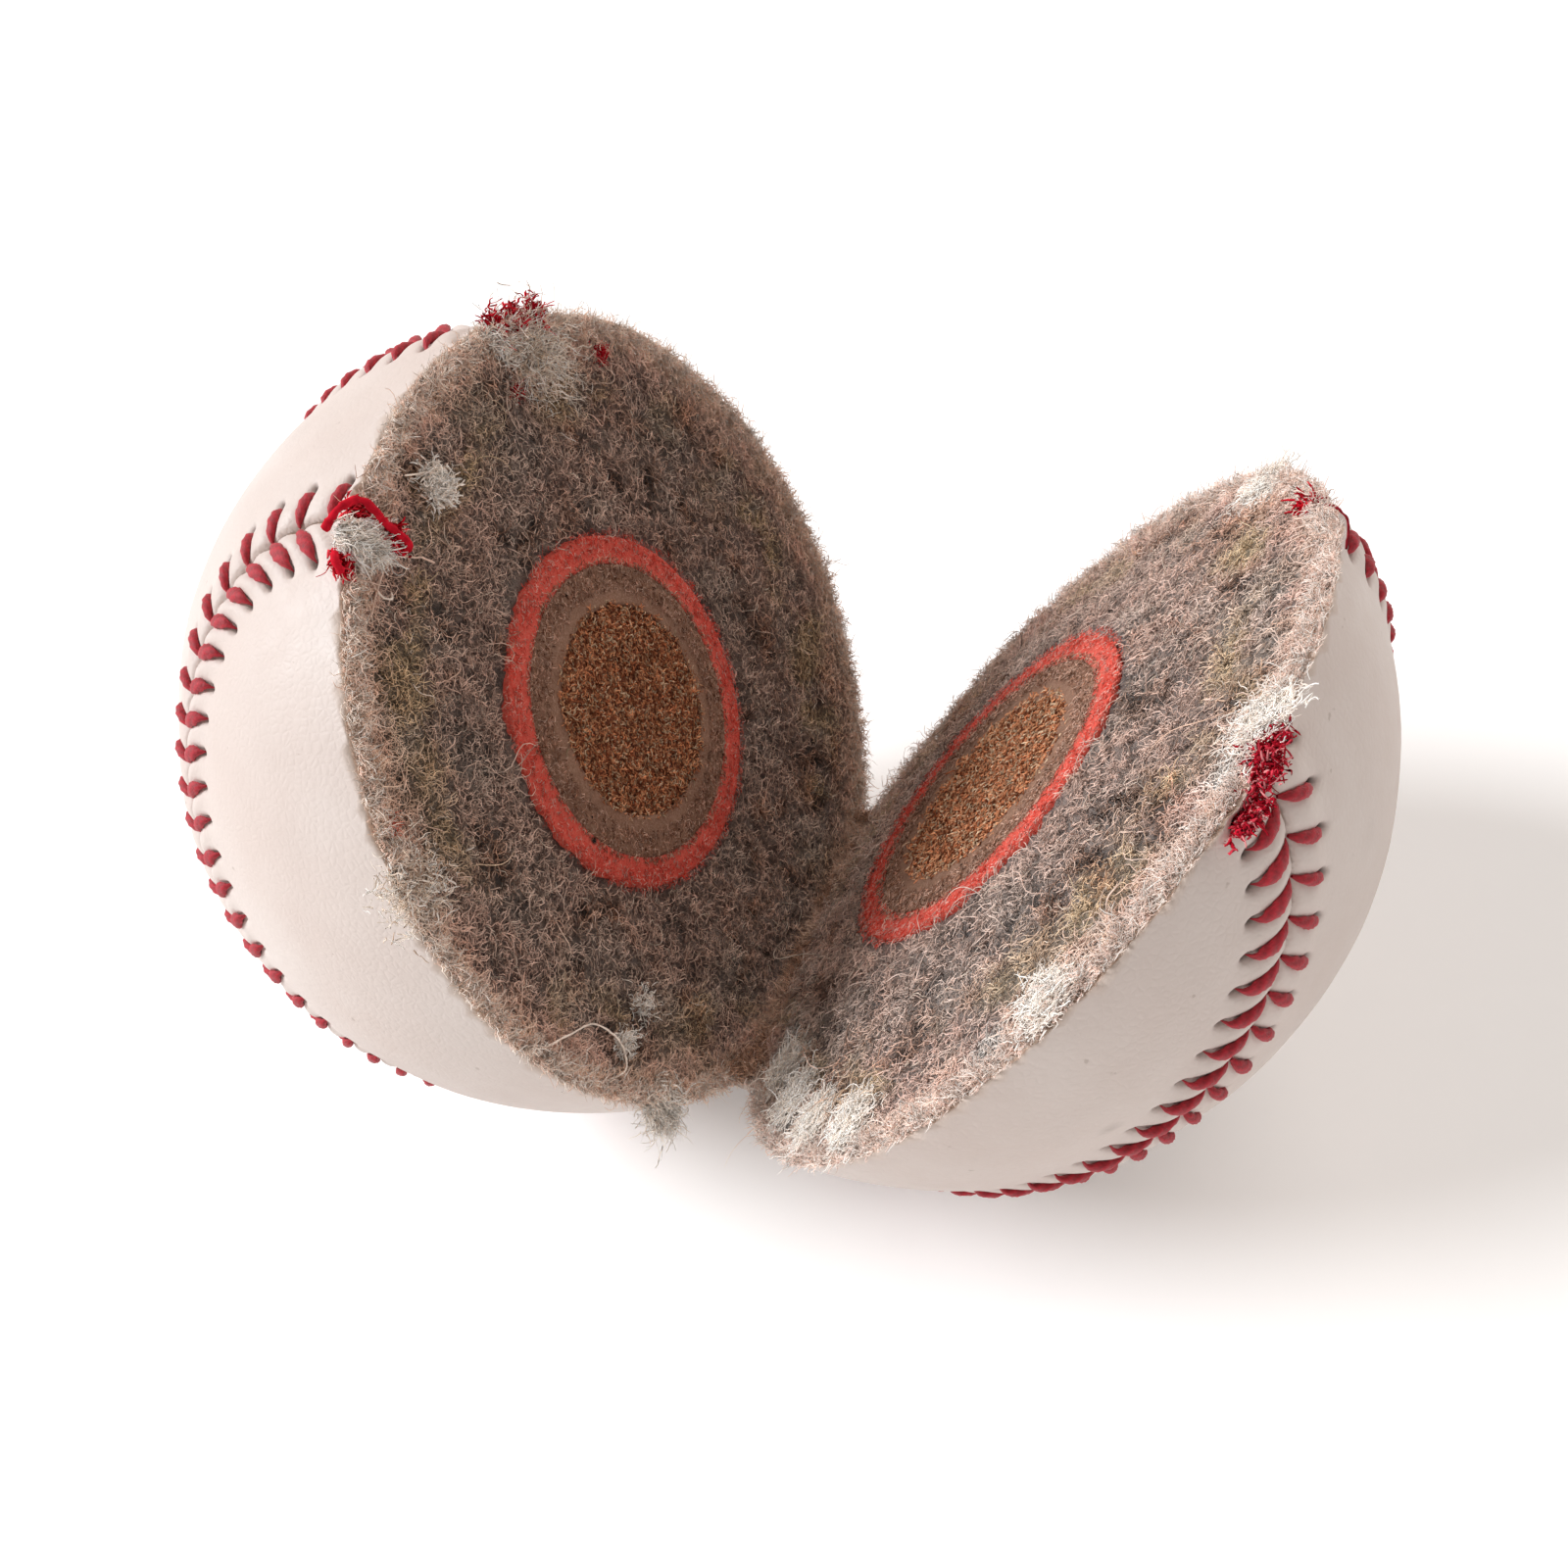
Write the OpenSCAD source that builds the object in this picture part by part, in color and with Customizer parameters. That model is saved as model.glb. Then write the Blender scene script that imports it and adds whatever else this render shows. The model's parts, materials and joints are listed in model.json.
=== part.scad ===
// Baseball sawn almost through and opened on its uncut strip of leather and yarn.
// Each half is drawn in the closed ball's own frame, with the ball's centre at the origin:
// +X points from the left half to the right half, square to the sawn face, and +Z runs up the
// face, away from the hinge. It is then tilted and set down beside the hinge line, and the whole
// leans a little, because the left half rests on its stitches and the right half on its leather.

/* [Ball] */
// Outside diameter of the whole ball
ball_d = 74; // [66:0.5:90]
// Thickness of the leather cover
leather_t = 1.25; // [0.9:0.05:2]
// Gap between one layer and the next
layer_gap = 0.04; // [0.02:0.01:0.1]

/* [Pill] */
// Diameter of the cork core
cork_d = 22; // [16:0.5:25]
// Thickness of the grey rubber shell round the cork
inner_rubber_t = 3.6; // [2.4:0.1:4]
// Thickness of the red rubber shell
red_rubber_t = 2.55; // [1.5:0.05:3.5]

/* [Windings] */
// Thickness of the finishing yarn under the cover
finishing_t = 0.7; // [0.5:0.05:1.5]
// Thickness of the outer grey wool winding
outer_wool_t = 2; // [1:0.1:3]
// Thickness of the white wool winding
white_wool_t = 2; // [1:0.1:3]

/* [Saw cut] */
// Width of the saw's kerf
kerf = 0.6; // [0.4:0.1:1.2]
// Distance from the ball's centre to the plane through the sawn rim
rim_offset = 8; // [5:0.5:10]
// Depth by which the left face is dished and the right face stands proud
dish = 3; // [1:0.1:4]
// Diameter of the flat middle of the sawn face, over the pill
flat_d = 36.4; // [35:0.1:40]
// Thickness of leather and yarn left uncut under the hinge line
bridge_t = 4.2; // [3.6:0.1:6]

/* [Opening] */
// Angle between the two halves as they lie
opening_angle = 62; // [50:1:75]
// Angle trimmed off the left half below the hinge line, where the strip bends
left_bend = 20; // [14:1:28]
// Angle trimmed off the right half below the hinge line
right_bend = 35; // [32:1:40]
// Gap between the bending strip and the halves
bend_gap = 0.3; // [0.1:0.05:0.5]

/* [Cover seam] */
// Share of the seam curve's third harmonic, which sets how narrow the waists are
seam_waist_share = 0.34; // [0.3:0.005:0.37]
// Turn of the seam about X
seam_angle_x = 7.7; // [0:0.1:12]
// Turn of the seam about Y, made next
seam_angle_y = -5.9; // [-9:0.1:0]
// Turn of the seam about Z, made last
seam_angle_z = 53.5; // [50:0.1:56]
// Twist of the cover about Z from the ball's middle to its side
seam_twist_angle = -14.1; // [-20:0.1:0]
// Gap between the edges of the two cover panels
seam_gap = 0.2; // [0.1:0.05:0.5]
// Straight steps along the whole seam
seam_step_count = 144; // [96:8:176]

/* [Stitches] */
// Number of double stitches round the whole ball
stitch_count = 138; // [80:1:150]
// Width of a stitch
stitch_w = 1.1; // [0.7:0.05:1.5]
// Height of a stitch over the leather
stitch_h = 0.5; // [0.3:0.05:0.8]
// Distance from the seam to the outer end of a stitch
stitch_reach = 3.5; // [2.5:0.1:4.2]
// Distance by which a stitch runs back along the seam
stitch_back = 1.9; // [1:0.1:2.5]
// Gap between the inner ends of a pair of stitches and the seam
stitch_inset = 0.35; // [0.3:0.05:0.9]
// Gap between a stitch and the leather
stitch_gap = 0.02; // [0.01:0.01:0.05]
// Bare leather between the last stitch and the sawn edge
stitch_margin = 0.8; // [0.5:0.1:3]

/* [Hidden] */
$fn = 96;
// One overrun serves all cuts
overrun = 1;
// Radii of the layers, from the cover inwards
ball_r = ball_d / 2;
cover_in_r = ball_r - leather_t;
finishing_r = cover_in_r - layer_gap;
outer_wool_r = finishing_r - finishing_t - layer_gap;
white_wool_r = outer_wool_r - outer_wool_t - layer_gap;
grey_wool_r = white_wool_r - white_wool_t - layer_gap;
// Radii of the pill, from the cork outwards
cork_r = cork_d / 2;
grey_rubber_r = cork_r + layer_gap + inner_rubber_t;
red_rubber_r = grey_rubber_r + layer_gap + red_rubber_t;
// The sawn surface: flat over the pill, then a cone out to the rim
rim_r = sqrt(ball_r * ball_r - rim_offset * rim_offset);
flat_r = flat_d / 2;
pill_offset = rim_offset - dish;
cut_slope = dish / (rim_r - flat_r);
cut_reach = ball_r + stitch_h + overrun;
// The hinge line lies in the rim's plane, inside the uncut strip
hinge_reach = ball_r - bridge_t;
centre_x = hinge_reach * sin(opening_angle / 2);
hinge_z = ball_r - hinge_reach * cos(opening_angle / 2);
rim_angle = asin(rim_offset / hinge_reach);
left_tilt = opening_angle / 2 - rim_angle;
right_tilt = opening_angle / 2 + rim_angle;
// The left half stands on its stitches, so it lies higher by their height
stitch_rise = stitch_gap + stitch_h;
lean = asin(stitch_rise / (2 * centre_x));
stand_x = -ball_r * sin(lean);
stand_z = ball_r - ball_r * cos(lean) + centre_x * sin(lean);
// Stitches
seat_r = ball_r + stitch_gap;
// Samples along the seam from which the places of the stitches are measured
run_step_count = 720;
// The cones that cut out the panels: how far they reach, and the steps across a panel
cone_reach_share = 1.3;
cap_step_count = 6;
// Angle along the seam over which its direction is taken
tangent_angle = 0.5;
// How far a stitch's arch is drawn past its ends, before it is cut to the leather's surface
arch_run_share = 1.1;
// Facets round the spheres that bound the stitches and the thin bending strip
fine_facet_count = 240;

// Turns of a point about the axes
function about_x(p, a) = [p.x, p.y * cos(a) - p.z * sin(a), p.y * sin(a) + p.z * cos(a)];
function about_y(p, a) = [p.x * cos(a) + p.z * sin(a), p.y, p.z * cos(a) - p.x * sin(a)];
function about_z(p, a) = [p.x * cos(a) - p.y * sin(a), p.x * sin(a) + p.y * cos(a), p.z];
function unit(p) = p / norm(p);

// The figure-eight seam on a ball of radius 1, at the angle t along it
function seam_curve(t) =
    let (b = seam_waist_share, a = 1 - b)
    [a * cos(t) + b * cos(3 * t), a * sin(t) - b * sin(3 * t), 2 * sqrt(a * b) * sin(2 * t)];

// Sets a point of that ball where it lies on this one
function laid(p) =
    let (q = about_z(about_y(about_x(p, seam_angle_x), seam_angle_y), seam_angle_z))
    about_z(q, seam_twist_angle * q.x);
function seam_point(t) = laid(seam_curve(t));
function seam_tangent(t) = unit(seam_point(t + tangent_angle) - seam_point(t - tangent_angle));
// Point of the unit ball beside the seam: along is how far on it lies, and across how far it is
// to the side, which is the lobe's where across is positive and the wrap's where it is negative
function seam_beside(t, along, across) =
    let (p = seam_point(t), f = seam_tangent(t))
    unit(p + (f * along + cross(p, f) * across) / ball_r);

// Length of the seam on the unit ball up to each sample, beside the angle there
function run_angle(i) = i * 360 / run_step_count;
function run_step(i) = norm(seam_point(run_angle(i)) - seam_point(run_angle(i - 1)));
seam_runs = [
    for (i = 0, run = 0; i <= run_step_count; i = i + 1, run = run + run_step(i)) [run, run_angle(i)]
];
// Angle of a stitch, at even distances along the seam
function stitch_angle(i) = lookup(seam_runs[run_step_count][0] * i / stitch_count, seam_runs);

// The sides of the seam: the panel with its waist on top, and the one that wraps up from below
LOBE = "lobe";
WRAP = "wrap";
function way(side) = side == LOBE ? 1 : -1;
// The seam's angle at one edge of a panel's waist, and at the place opposite it
function waist(side) = side == LOBE ? 45 : 135;
function near_edge(side, s) = waist(side) + s;
function far_edge(side, s) = waist(side) + 180 - s;

// Point between the two edges of a panel, at the share u of the arc that joins them
function panel_point(side, s, u) =
    let (p = seam_curve(near_edge(side, s)), q = seam_curve(far_edge(side, s)), a = acos(p * q))
    laid((p * sin(a * (1 - u)) + q * sin(a * u)) / sin(a));

// Everything inside the cone from the ball's centre over one panel of the cover
module panel_cone(side) {
    half = seam_step_count / 2;
    reach = ball_r * cone_reach_share;
    rows = half - 1;
    cols = cap_step_count + 1;
    function edge(t) = seam_beside(t, 0, way(side) * seam_gap / 2) * reach;
    function spot(i, j) =
        let (s = (2 * i - half) * 90 / half)
        j == 0 ? edge(near_edge(side, s))
        : j == cap_step_count ? edge(far_edge(side, s))
        : panel_point(side, s, j / cap_step_count) * reach;
    points = concat(
        [[0, 0, 0], edge(near_edge(side, -90)), edge(near_edge(side, 90))],
        [for (i = [1 : rows]) for (j = [0 : cap_step_count]) spot(i, j)]
    );
    function id(i, j) = i == 0 ? 1 : i == half ? 2 : 3 + (i - 1) * cols + j;
    faces = concat(
        [for (i = [0 : half - 1]) [0, id(i + 1, 0), id(i, 0)]],
        [for (i = [0 : half - 1]) [0, id(i, cap_step_count), id(i + 1, cap_step_count)]],
        [for (i = [1 : rows - 1]) for (j = [0 : cap_step_count - 1]) [id(i, j), id(i + 1, j), id(i + 1, j + 1)]],
        [for (i = [1 : rows - 1]) for (j = [0 : cap_step_count - 1]) [id(i, j), id(i + 1, j + 1), id(i, j + 1)]],
        [for (j = [0 : cap_step_count - 1]) [1, id(1, j), id(1, j + 1)]],
        [for (j = [0 : cap_step_count - 1]) [id(rows, j), 2, id(rows, j + 1)]]
    );
    outward = side == LOBE ? faces : [for (f = faces) [f[0], f[2], f[1]]];
    polyhedron(points = points, faces = outward, convexity = 6);
}

// Turns what is drawn about Z to stand about X, square to the sawn face
module about_cut_axis() {
    rotate([0, 90, 0]) rotate([0, 0, 180]) children();
}

module ball(r) {
    about_cut_axis() sphere(r = r);
}

// A shell between two radii
module shell(outer_r, inner_r) {
    difference() {
        ball(outer_r);
        ball(inner_r);
    }
}

// All that lies beyond the sawn surface, moved along +X by shift, and so off the left half
module past_cut(shift) {
    about_cut_axis() rotate_extrude() polygon([
        [0, pill_offset + shift],
        [flat_r, pill_offset + shift],
        [cut_reach, pill_offset + shift + (cut_reach - flat_r) * cut_slope],
        [cut_reach, cut_reach],
        [0, cut_reach]
    ]);
}

// All that lies before the sawn surface, and so off the right half
module before_cut(shift) {
    about_cut_axis() rotate_extrude() polygon([
        [0, -cut_reach],
        [cut_reach, -cut_reach],
        [cut_reach, pill_offset + shift + (cut_reach - flat_r) * cut_slope],
        [flat_r, pill_offset + shift],
        [0, pill_offset + shift]
    ]);
}

module place_left() {
    translate([-centre_x, 0, ball_r]) rotate([0, -left_tilt, 0]) children();
}

module place_right() {
    translate([centre_x, 0, ball_r]) rotate([0, right_tilt, 0]) children();
}

// Sets both halves down on Z = 0, with X = 0 midway between their far ends
module stand() {
    translate([stand_x, 0, stand_z]) rotate([0, lean, 0]) children();
}

// Room for the bending strip, on one side of a plane through the hinge line
module bend_room(angle, start) {
    translate([0, 0, hinge_z]) rotate([0, angle, 0])
        translate([start, -cut_reach, -2 * cut_reach]) cube([2 * cut_reach, 2 * cut_reach, 4 * cut_reach]);
}

// The left part of what is drawn in the ball's frame
module left_half() {
    stand() difference() {
        place_left() difference() {
            children();
            past_cut(-kerf / 2);
        }
        bend_room(left_bend, 0);
    }
}

// The right part of what is drawn in the ball's frame
module right_half() {
    stand() difference() {
        place_right() difference() {
            children();
            before_cut(kerf / 2);
        }
        bend_room(-right_bend, -2 * cut_reach);
    }
}

module cork() { ball(cork_r); }
module grey_rubber() { shell(grey_rubber_r, cork_r + layer_gap); }
module red_rubber() { shell(red_rubber_r, grey_rubber_r + layer_gap); }
module grey_wool() { shell(grey_wool_r, red_rubber_r + layer_gap); }
module white_wool() { shell(white_wool_r, grey_wool_r + layer_gap); }
module outer_wool() { shell(outer_wool_r, white_wool_r + layer_gap); }
module finishing() { shell(finishing_r, outer_wool_r + layer_gap); }

// One of the two figure-eight panels of the cover
module panel(side) {
    intersection() {
        shell(ball_r, cover_in_r);
        panel_cone(side);
    }
}

// The part of the wrapping panel on the front, or with a turn of 180 on the back
module wrap_side(turn) {
    difference() {
        panel(WRAP);
        rotate([turn, 0, 0]) translate([-cut_reach, 0, -cut_reach])
            cube([2 * cut_reach, cut_reach, 2 * cut_reach]);
    }
}

// Inner and outer end of the stitch at t, on the side of the seam that side gives
function stitch_start(t, side) = seam_beside(t, 0, way(side) * stitch_inset);
function stitch_end(t, side) = seam_beside(t, stitch_back, way(side) * stitch_reach);

// One stitch: an arch that comes up out of the leather at one end and goes back into it at the
// other, so that it tapers to both. What would lie under the leather's surface is cut off.
module stitch(t, side) {
    p = stitch_start(t, side);
    q = stitch_end(t, side);
    half_arc = acos(p * q) / 2;
    half_span = seat_r * sin(half_arc);
    rise = seat_r * (1 - cos(half_arc)) + stitch_h;
    arch_r = (half_span * half_span + rise * rise) / (2 * rise);
    swing = asin(half_span / arch_r) * arch_run_share;
    foot_r = arch_r - stitch_h;
    middle = unit(p + q);
    w = unit(cross(p, q));
    turn = atan2(w.y, w.x);
    lean = acos(w.z);
    u = about_z(about_y([1, 0, 0], lean), turn);
    rotate([0, lean, turn])
        rotate([0, 0, atan2(middle * cross(w, u), middle * u)]) difference() {
            translate([seat_r - foot_r, 0, 0]) rotate([0, 0, -swing]) rotate_extrude(angle = 2 * swing)
                polygon([for (a = [-90 : 45 : 90]) [foot_r + stitch_h * cos(a), stitch_w / 2 * sin(a)]]);
            rotate([0, 0, 180]) cylinder(r = seat_r, h = 2 * stitch_w, center = true, $fn = fine_facet_count);
        }
}

// Places of a point of the ball in the two halves as they lie
function left_spot(p) = about_y(p * ball_r, -left_tilt) + [-centre_x, 0, ball_r];
function right_spot(p) = about_y(p * ball_r, right_tilt) + [centre_x, 0, ball_r];
function cut_at(p) = pill_offset + (ball_r * norm([p.y, p.z]) - flat_r) * cut_slope;
stitch_keep = kerf / 2 + stitch_w / 2 + stitch_margin;

// True where a point keeps clear of the sawn edge and of the bending strip
function keeps_left(p) =
    let (w = left_spot(p), drop = hinge_z - w.z)
    ball_r * p.x < cut_at(p) - stitch_keep && w.x < -drop * tan(left_bend) - stitch_keep;
function keeps_right(p) =
    let (w = right_spot(p), drop = hinge_z - w.z)
    ball_r * p.x > cut_at(p) + stitch_keep && w.x > drop * tan(right_bend) + stitch_keep;

module left_stitches(side) {
    stand() place_left() for (i = [0 : stitch_count - 1]) {
        t = stitch_angle(i);
        if (keeps_left(stitch_start(t, side)) && keeps_left(stitch_end(t, side))) stitch(t, side);
    }
}

module right_stitches(side) {
    stand() place_right() for (i = [0 : stitch_count - 1]) {
        t = stitch_angle(i);
        if (keeps_right(stitch_start(t, side)) && keeps_right(stitch_end(t, side))) stitch(t, side);
    }
}

// Wedge below the hinge line that the bending strip fills, on the side that angle points to
module bend_wedge(angle) {
    top = hinge_z - bend_gap;
    foot = -overrun;
    translate([0, cut_reach, 0]) rotate([90, 0, 0]) linear_extrude(2 * cut_reach)
        polygon([[0, top], [(top - foot) * tan(angle), foot], [0, foot]]);
}

module left_cork_core() { color("#8a5230") left_half() cork(); }
module left_grey_rubber_shell() { color("#6f5b49") left_half() grey_rubber(); }
module left_red_rubber_shell() { color("#b4513f") left_half() red_rubber(); }
module left_grey_wool_winding() { color("#6e6258") left_half() grey_wool(); }
module left_white_wool_winding() { color("#b59c78") left_half() white_wool(); }
module left_outer_wool_winding() { color("#86705f") left_half() outer_wool(); }
module left_finishing_yarn() { color("#d5c3a8") left_half() finishing(); }
module left_cover_lobe() { color("#f3e9df") left_half() panel(LOBE); }
module left_cover_wrap() { color("#f0e4d8") left_half() panel(WRAP); }
module left_lobe_stitches() { color("#b3202c") left_stitches(LOBE); }
module left_wrap_stitches() { color("#b3202c") left_stitches(WRAP); }

module right_cork_core() { color("#8a5230") right_half() cork(); }
module right_grey_rubber_shell() { color("#6f5b49") right_half() grey_rubber(); }
module right_red_rubber_shell() { color("#b4513f") right_half() red_rubber(); }
module right_grey_wool_winding() { color("#6e6258") right_half() grey_wool(); }
module right_white_wool_winding() { color("#b59c78") right_half() white_wool(); }
module right_outer_wool_winding() { color("#86705f") right_half() outer_wool(); }
module right_finishing_yarn() { color("#d5c3a8") right_half() finishing(); }
module right_cover_lobe() { color("#f3e9df") right_half() panel(LOBE); }
module right_cover_front() { color("#f0e4d8") right_half() wrap_side(0); }
module right_cover_back() { color("#f0e4d8") right_half() wrap_side(180); }
module right_lobe_stitches() { color("#b3202c") right_stitches(LOBE); }
module right_wrap_stitches() { color("#b3202c") right_stitches(WRAP); }

// The strip of leather that folds where the halves hang together
module leather_hinge() {
    $fn = fine_facet_count;
    color("#e9dccf") stand() {
        intersection() {
            place_left() shell(ball_r, cover_in_r);
            bend_wedge(-left_bend);
        }
        intersection() {
            place_right() shell(ball_r, cover_in_r);
            bend_wedge(right_bend);
        }
    }
}

// The uncut windings over that strip
module yarn_bridge() {
    $fn = fine_facet_count;
    color("#b7a489") stand() {
        intersection() {
            place_left() ball(finishing_r);
            bend_wedge(-left_bend);
        }
        intersection() {
            place_right() ball(finishing_r);
            bend_wedge(right_bend);
        }
    }
}

left_cork_core();
left_grey_rubber_shell();
left_red_rubber_shell();
left_grey_wool_winding();
left_white_wool_winding();
left_outer_wool_winding();
left_finishing_yarn();
left_cover_lobe();
left_cover_wrap();
left_lobe_stitches();
left_wrap_stitches();
right_cork_core();
right_grey_rubber_shell();
right_red_rubber_shell();
right_grey_wool_winding();
right_white_wool_winding();
right_outer_wool_winding();
right_finishing_yarn();
right_cover_lobe();
right_cover_front();
right_cover_back();
right_lobe_stitches();
right_wrap_stitches();
leather_hinge();
yarn_bridge();
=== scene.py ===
"""Looks of a baseball that was sawn almost through and opened on its uncut strip.

Points are in millimetres in the closed ball's own frame until place() sets them in the row frame:
+X runs from the left half to the right half, square to the sawn face, and +Z up the face.
"""
import json
import math
import bmesh
import bpy
import numpy as np
from mathutils import Matrix, Vector, kdtree


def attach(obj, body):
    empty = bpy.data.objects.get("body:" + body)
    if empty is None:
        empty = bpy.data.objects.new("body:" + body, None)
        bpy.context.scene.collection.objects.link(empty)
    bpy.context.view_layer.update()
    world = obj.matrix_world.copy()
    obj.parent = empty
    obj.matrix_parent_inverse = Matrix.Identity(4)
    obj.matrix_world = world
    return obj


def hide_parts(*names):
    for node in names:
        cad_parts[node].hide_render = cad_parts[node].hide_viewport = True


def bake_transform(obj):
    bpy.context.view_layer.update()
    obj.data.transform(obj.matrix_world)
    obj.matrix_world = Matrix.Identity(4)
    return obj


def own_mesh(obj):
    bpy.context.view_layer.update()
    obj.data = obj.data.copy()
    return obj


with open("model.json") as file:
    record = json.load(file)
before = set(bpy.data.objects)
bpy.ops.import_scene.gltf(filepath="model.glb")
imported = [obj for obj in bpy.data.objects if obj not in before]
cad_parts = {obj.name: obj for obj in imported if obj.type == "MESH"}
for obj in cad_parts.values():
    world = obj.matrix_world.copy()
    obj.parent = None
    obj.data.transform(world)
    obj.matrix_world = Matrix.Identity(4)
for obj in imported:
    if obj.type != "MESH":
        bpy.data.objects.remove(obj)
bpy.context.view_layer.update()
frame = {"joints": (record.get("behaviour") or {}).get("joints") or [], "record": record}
MM = 0.001

# Ball
BALL_R = 37.0
LEATHER_T = 1.25
LAYER_GAP = 0.04
CORK_R = 11.0
GREY_RUBBER_R = CORK_R + LAYER_GAP + 3.6
RED_RUBBER_R = GREY_RUBBER_R + LAYER_GAP + 2.55
FINISHING_R = BALL_R - LEATHER_T - LAYER_GAP
OUTER_WOOL_R = FINISHING_R - 0.7 - LAYER_GAP
WHITE_WOOL_R = OUTER_WOOL_R - 2.0 - LAYER_GAP
GREY_WOOL_R = WHITE_WOOL_R - 2.0 - LAYER_GAP

# Saw cut and opening
KERF = 0.6
RIM_OFFSET = 8.0
DISH = 3.0
FLAT_R = 18.2
BRIDGE_T = 4.2
OPENING = math.radians(62)
LEFT_BEND = math.radians(20)
RIGHT_BEND = math.radians(35)
RIM_R = math.sqrt(BALL_R ** 2 - RIM_OFFSET ** 2)
PILL_OFFSET = RIM_OFFSET - DISH
CUT_SLOPE = DISH / (RIM_R - FLAT_R)
HINGE_REACH = BALL_R - BRIDGE_T

# Cover seam
SEAM_WAIST = 0.34
SEAM_TURN = np.radians([7.7, -5.9, 53.5])
SEAM_TWIST = math.radians(-14.1)
SEAM_GAP = 0.2
SEAM_SAMPLES = 2880
LOBE, WRAP = 1, -1

# Stitches
STITCH_COUNT = 138
STITCH_REACH = {LOBE: 3.1, WRAP: 3.5}
STITCH_BACK = {LOBE: 1.0, WRAP: 1.9}
STITCH_WIDTH = {LOBE: 0.47, WRAP: 0.6}
STITCH_TAPER = {LOBE: 0.5, WRAP: 0.9}
STITCH_INSET = 0.12
STITCH_KEEP = 1.65

BODY = {"left": "left_half", "right": "right_half"}
OUT = {"left": 1, "right": -1}


# Placement

def mount(name):
    found = [m for m in frame["record"]["mounts"] if m["name"] == name][0]
    return np.array(found["pos_m"]) / MM, np.array(found["axis"])


def half_frame(side):
    """Ball centre and the X, Y and Z axes of one half, in the row frame."""
    face, normal = mount(side + "_sawn_face")
    out = OUT[side]
    x = normal * out
    y = np.array([0.0, 1.0, 0.0])
    return face - x * (PILL_OFFSET - out * KERF / 2), np.array([x, y, np.cross(x, y)])


HALF = {side: half_frame(side) for side in BODY}
HINGE = np.array(frame["joints"][0]["pos_m"]) / MM


def place(points, side):
    """Points of the ball's frame, in the row frame."""
    centre, axes = HALF[side]
    return centre + points @ axes


# Arrays

def unit(v):
    return v / np.linalg.norm(v, axis=-1, keepdims=True)


def noise(points, cell, seed, period=32):
    """Smooth random values from -1 to 1 that change over about cell millimetres."""
    table = np.random.default_rng(seed).uniform(-1, 1, (period, period, period))
    q = points / cell
    low = np.floor(q).astype(int)
    f = q - low
    f = f * f * (3 - 2 * f)
    total = np.zeros(len(points))
    for corner in np.ndindex(2, 2, 2):
        i = (low + corner) % period
        weight = np.prod(np.where(corner, f, 1 - f), axis=1)
        total += weight * table[i[:, 0], i[:, 1], i[:, 2]]
    return total


def layered_noise(points, cell, seed, layers=3, share=0.5):
    total = np.zeros(len(points))
    for k in range(layers):
        total += noise(points, cell * 0.5 ** k, seed + k) * share ** k
    return total


def bump(x, width):
    return np.exp(-(x / width) ** 2)


def clip(rows, tris, field):
    """Keeps the part of a triangle mesh where field is positive. A row is a point and its values."""
    inside = field > 0
    count = inside[tris].sum(1)
    kept = [tris[count == 3]]
    pairs = []
    for wanted in (1, 2):
        some = tris[count == wanted]
        odd = inside[some] if wanted == 1 else ~inside[some]
        first = odd.argmax(1)
        order = (first[:, None] + np.arange(3)) % 3
        pairs.append(np.take_along_axis(some, order, 1))
    edges = np.concatenate([p[:, [0, k]] for p in pairs for k in (1, 2)])
    unique, where = np.unique(np.sort(edges, 1), axis=0, return_inverse=True)
    where = where.ravel() + len(rows)
    a, b = unique[:, 0], unique[:, 1]
    share = (field[a] / (field[a] - field[b]))[:, None]
    rows = np.concatenate([rows, rows[a] + (rows[b] - rows[a]) * share])
    n1, n2 = len(pairs[0]), len(pairs[1])
    ab1, ac1 = where[:n1], where[n1:2 * n1]
    ab2, ac2 = where[2 * n1:2 * n1 + n2], where[2 * n1 + n2:]
    kept.append(np.stack([pairs[0][:, 0], ab1, ac1], 1))
    kept.append(np.stack([ab2, pairs[1][:, 1], pairs[1][:, 2]], 1))
    kept.append(np.stack([ab2, pairs[1][:, 2], ac2], 1))
    tris = np.concatenate(kept)
    used, tris = np.unique(tris, return_inverse=True)
    return rows[used], tris.reshape(-1, 3)


def boundary(tris):
    """Edges that belong to one triangle only, in its direction."""
    edges = np.concatenate([tris[:, [0, 1]], tris[:, [1, 2]], tris[:, [2, 0]]])
    _, first, count = np.unique(np.sort(edges, 1), axis=0, return_index=True, return_counts=True)
    return edges[first[count == 1]]


def tube_faces(rings, sides):
    """Quads of an open tube whose points are rings of sides points each."""
    i, j = np.meshgrid(np.arange(rings - 1), np.arange(sides), indexing="ij")
    k = (j + 1) % sides
    corners = [i * sides + j, i * sides + k, (i + 1) * sides + k, (i + 1) * sides + j]
    return np.stack(corners, -1).reshape(-1, 4)


def sheet_faces(rows, columns):
    """Quads of a closed sheet: a grid of outer points, then the same grid inside."""
    grid = np.arange(rows * columns).reshape(rows, columns)
    quads = np.stack([grid[:-1, :-1], grid[:-1, 1:], grid[1:, 1:], grid[1:, :-1]], -1).reshape(-1, 4)
    ring = np.concatenate([grid[0, :-1], grid[:-1, -1], grid[-1, :0:-1], grid[:0:-1, 0]])
    after = np.roll(ring, -1)
    walls = np.stack([after, ring, ring + grid.size, after + grid.size], -1)
    return np.concatenate([quads, quads[:, ::-1] + grid.size, walls])


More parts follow.
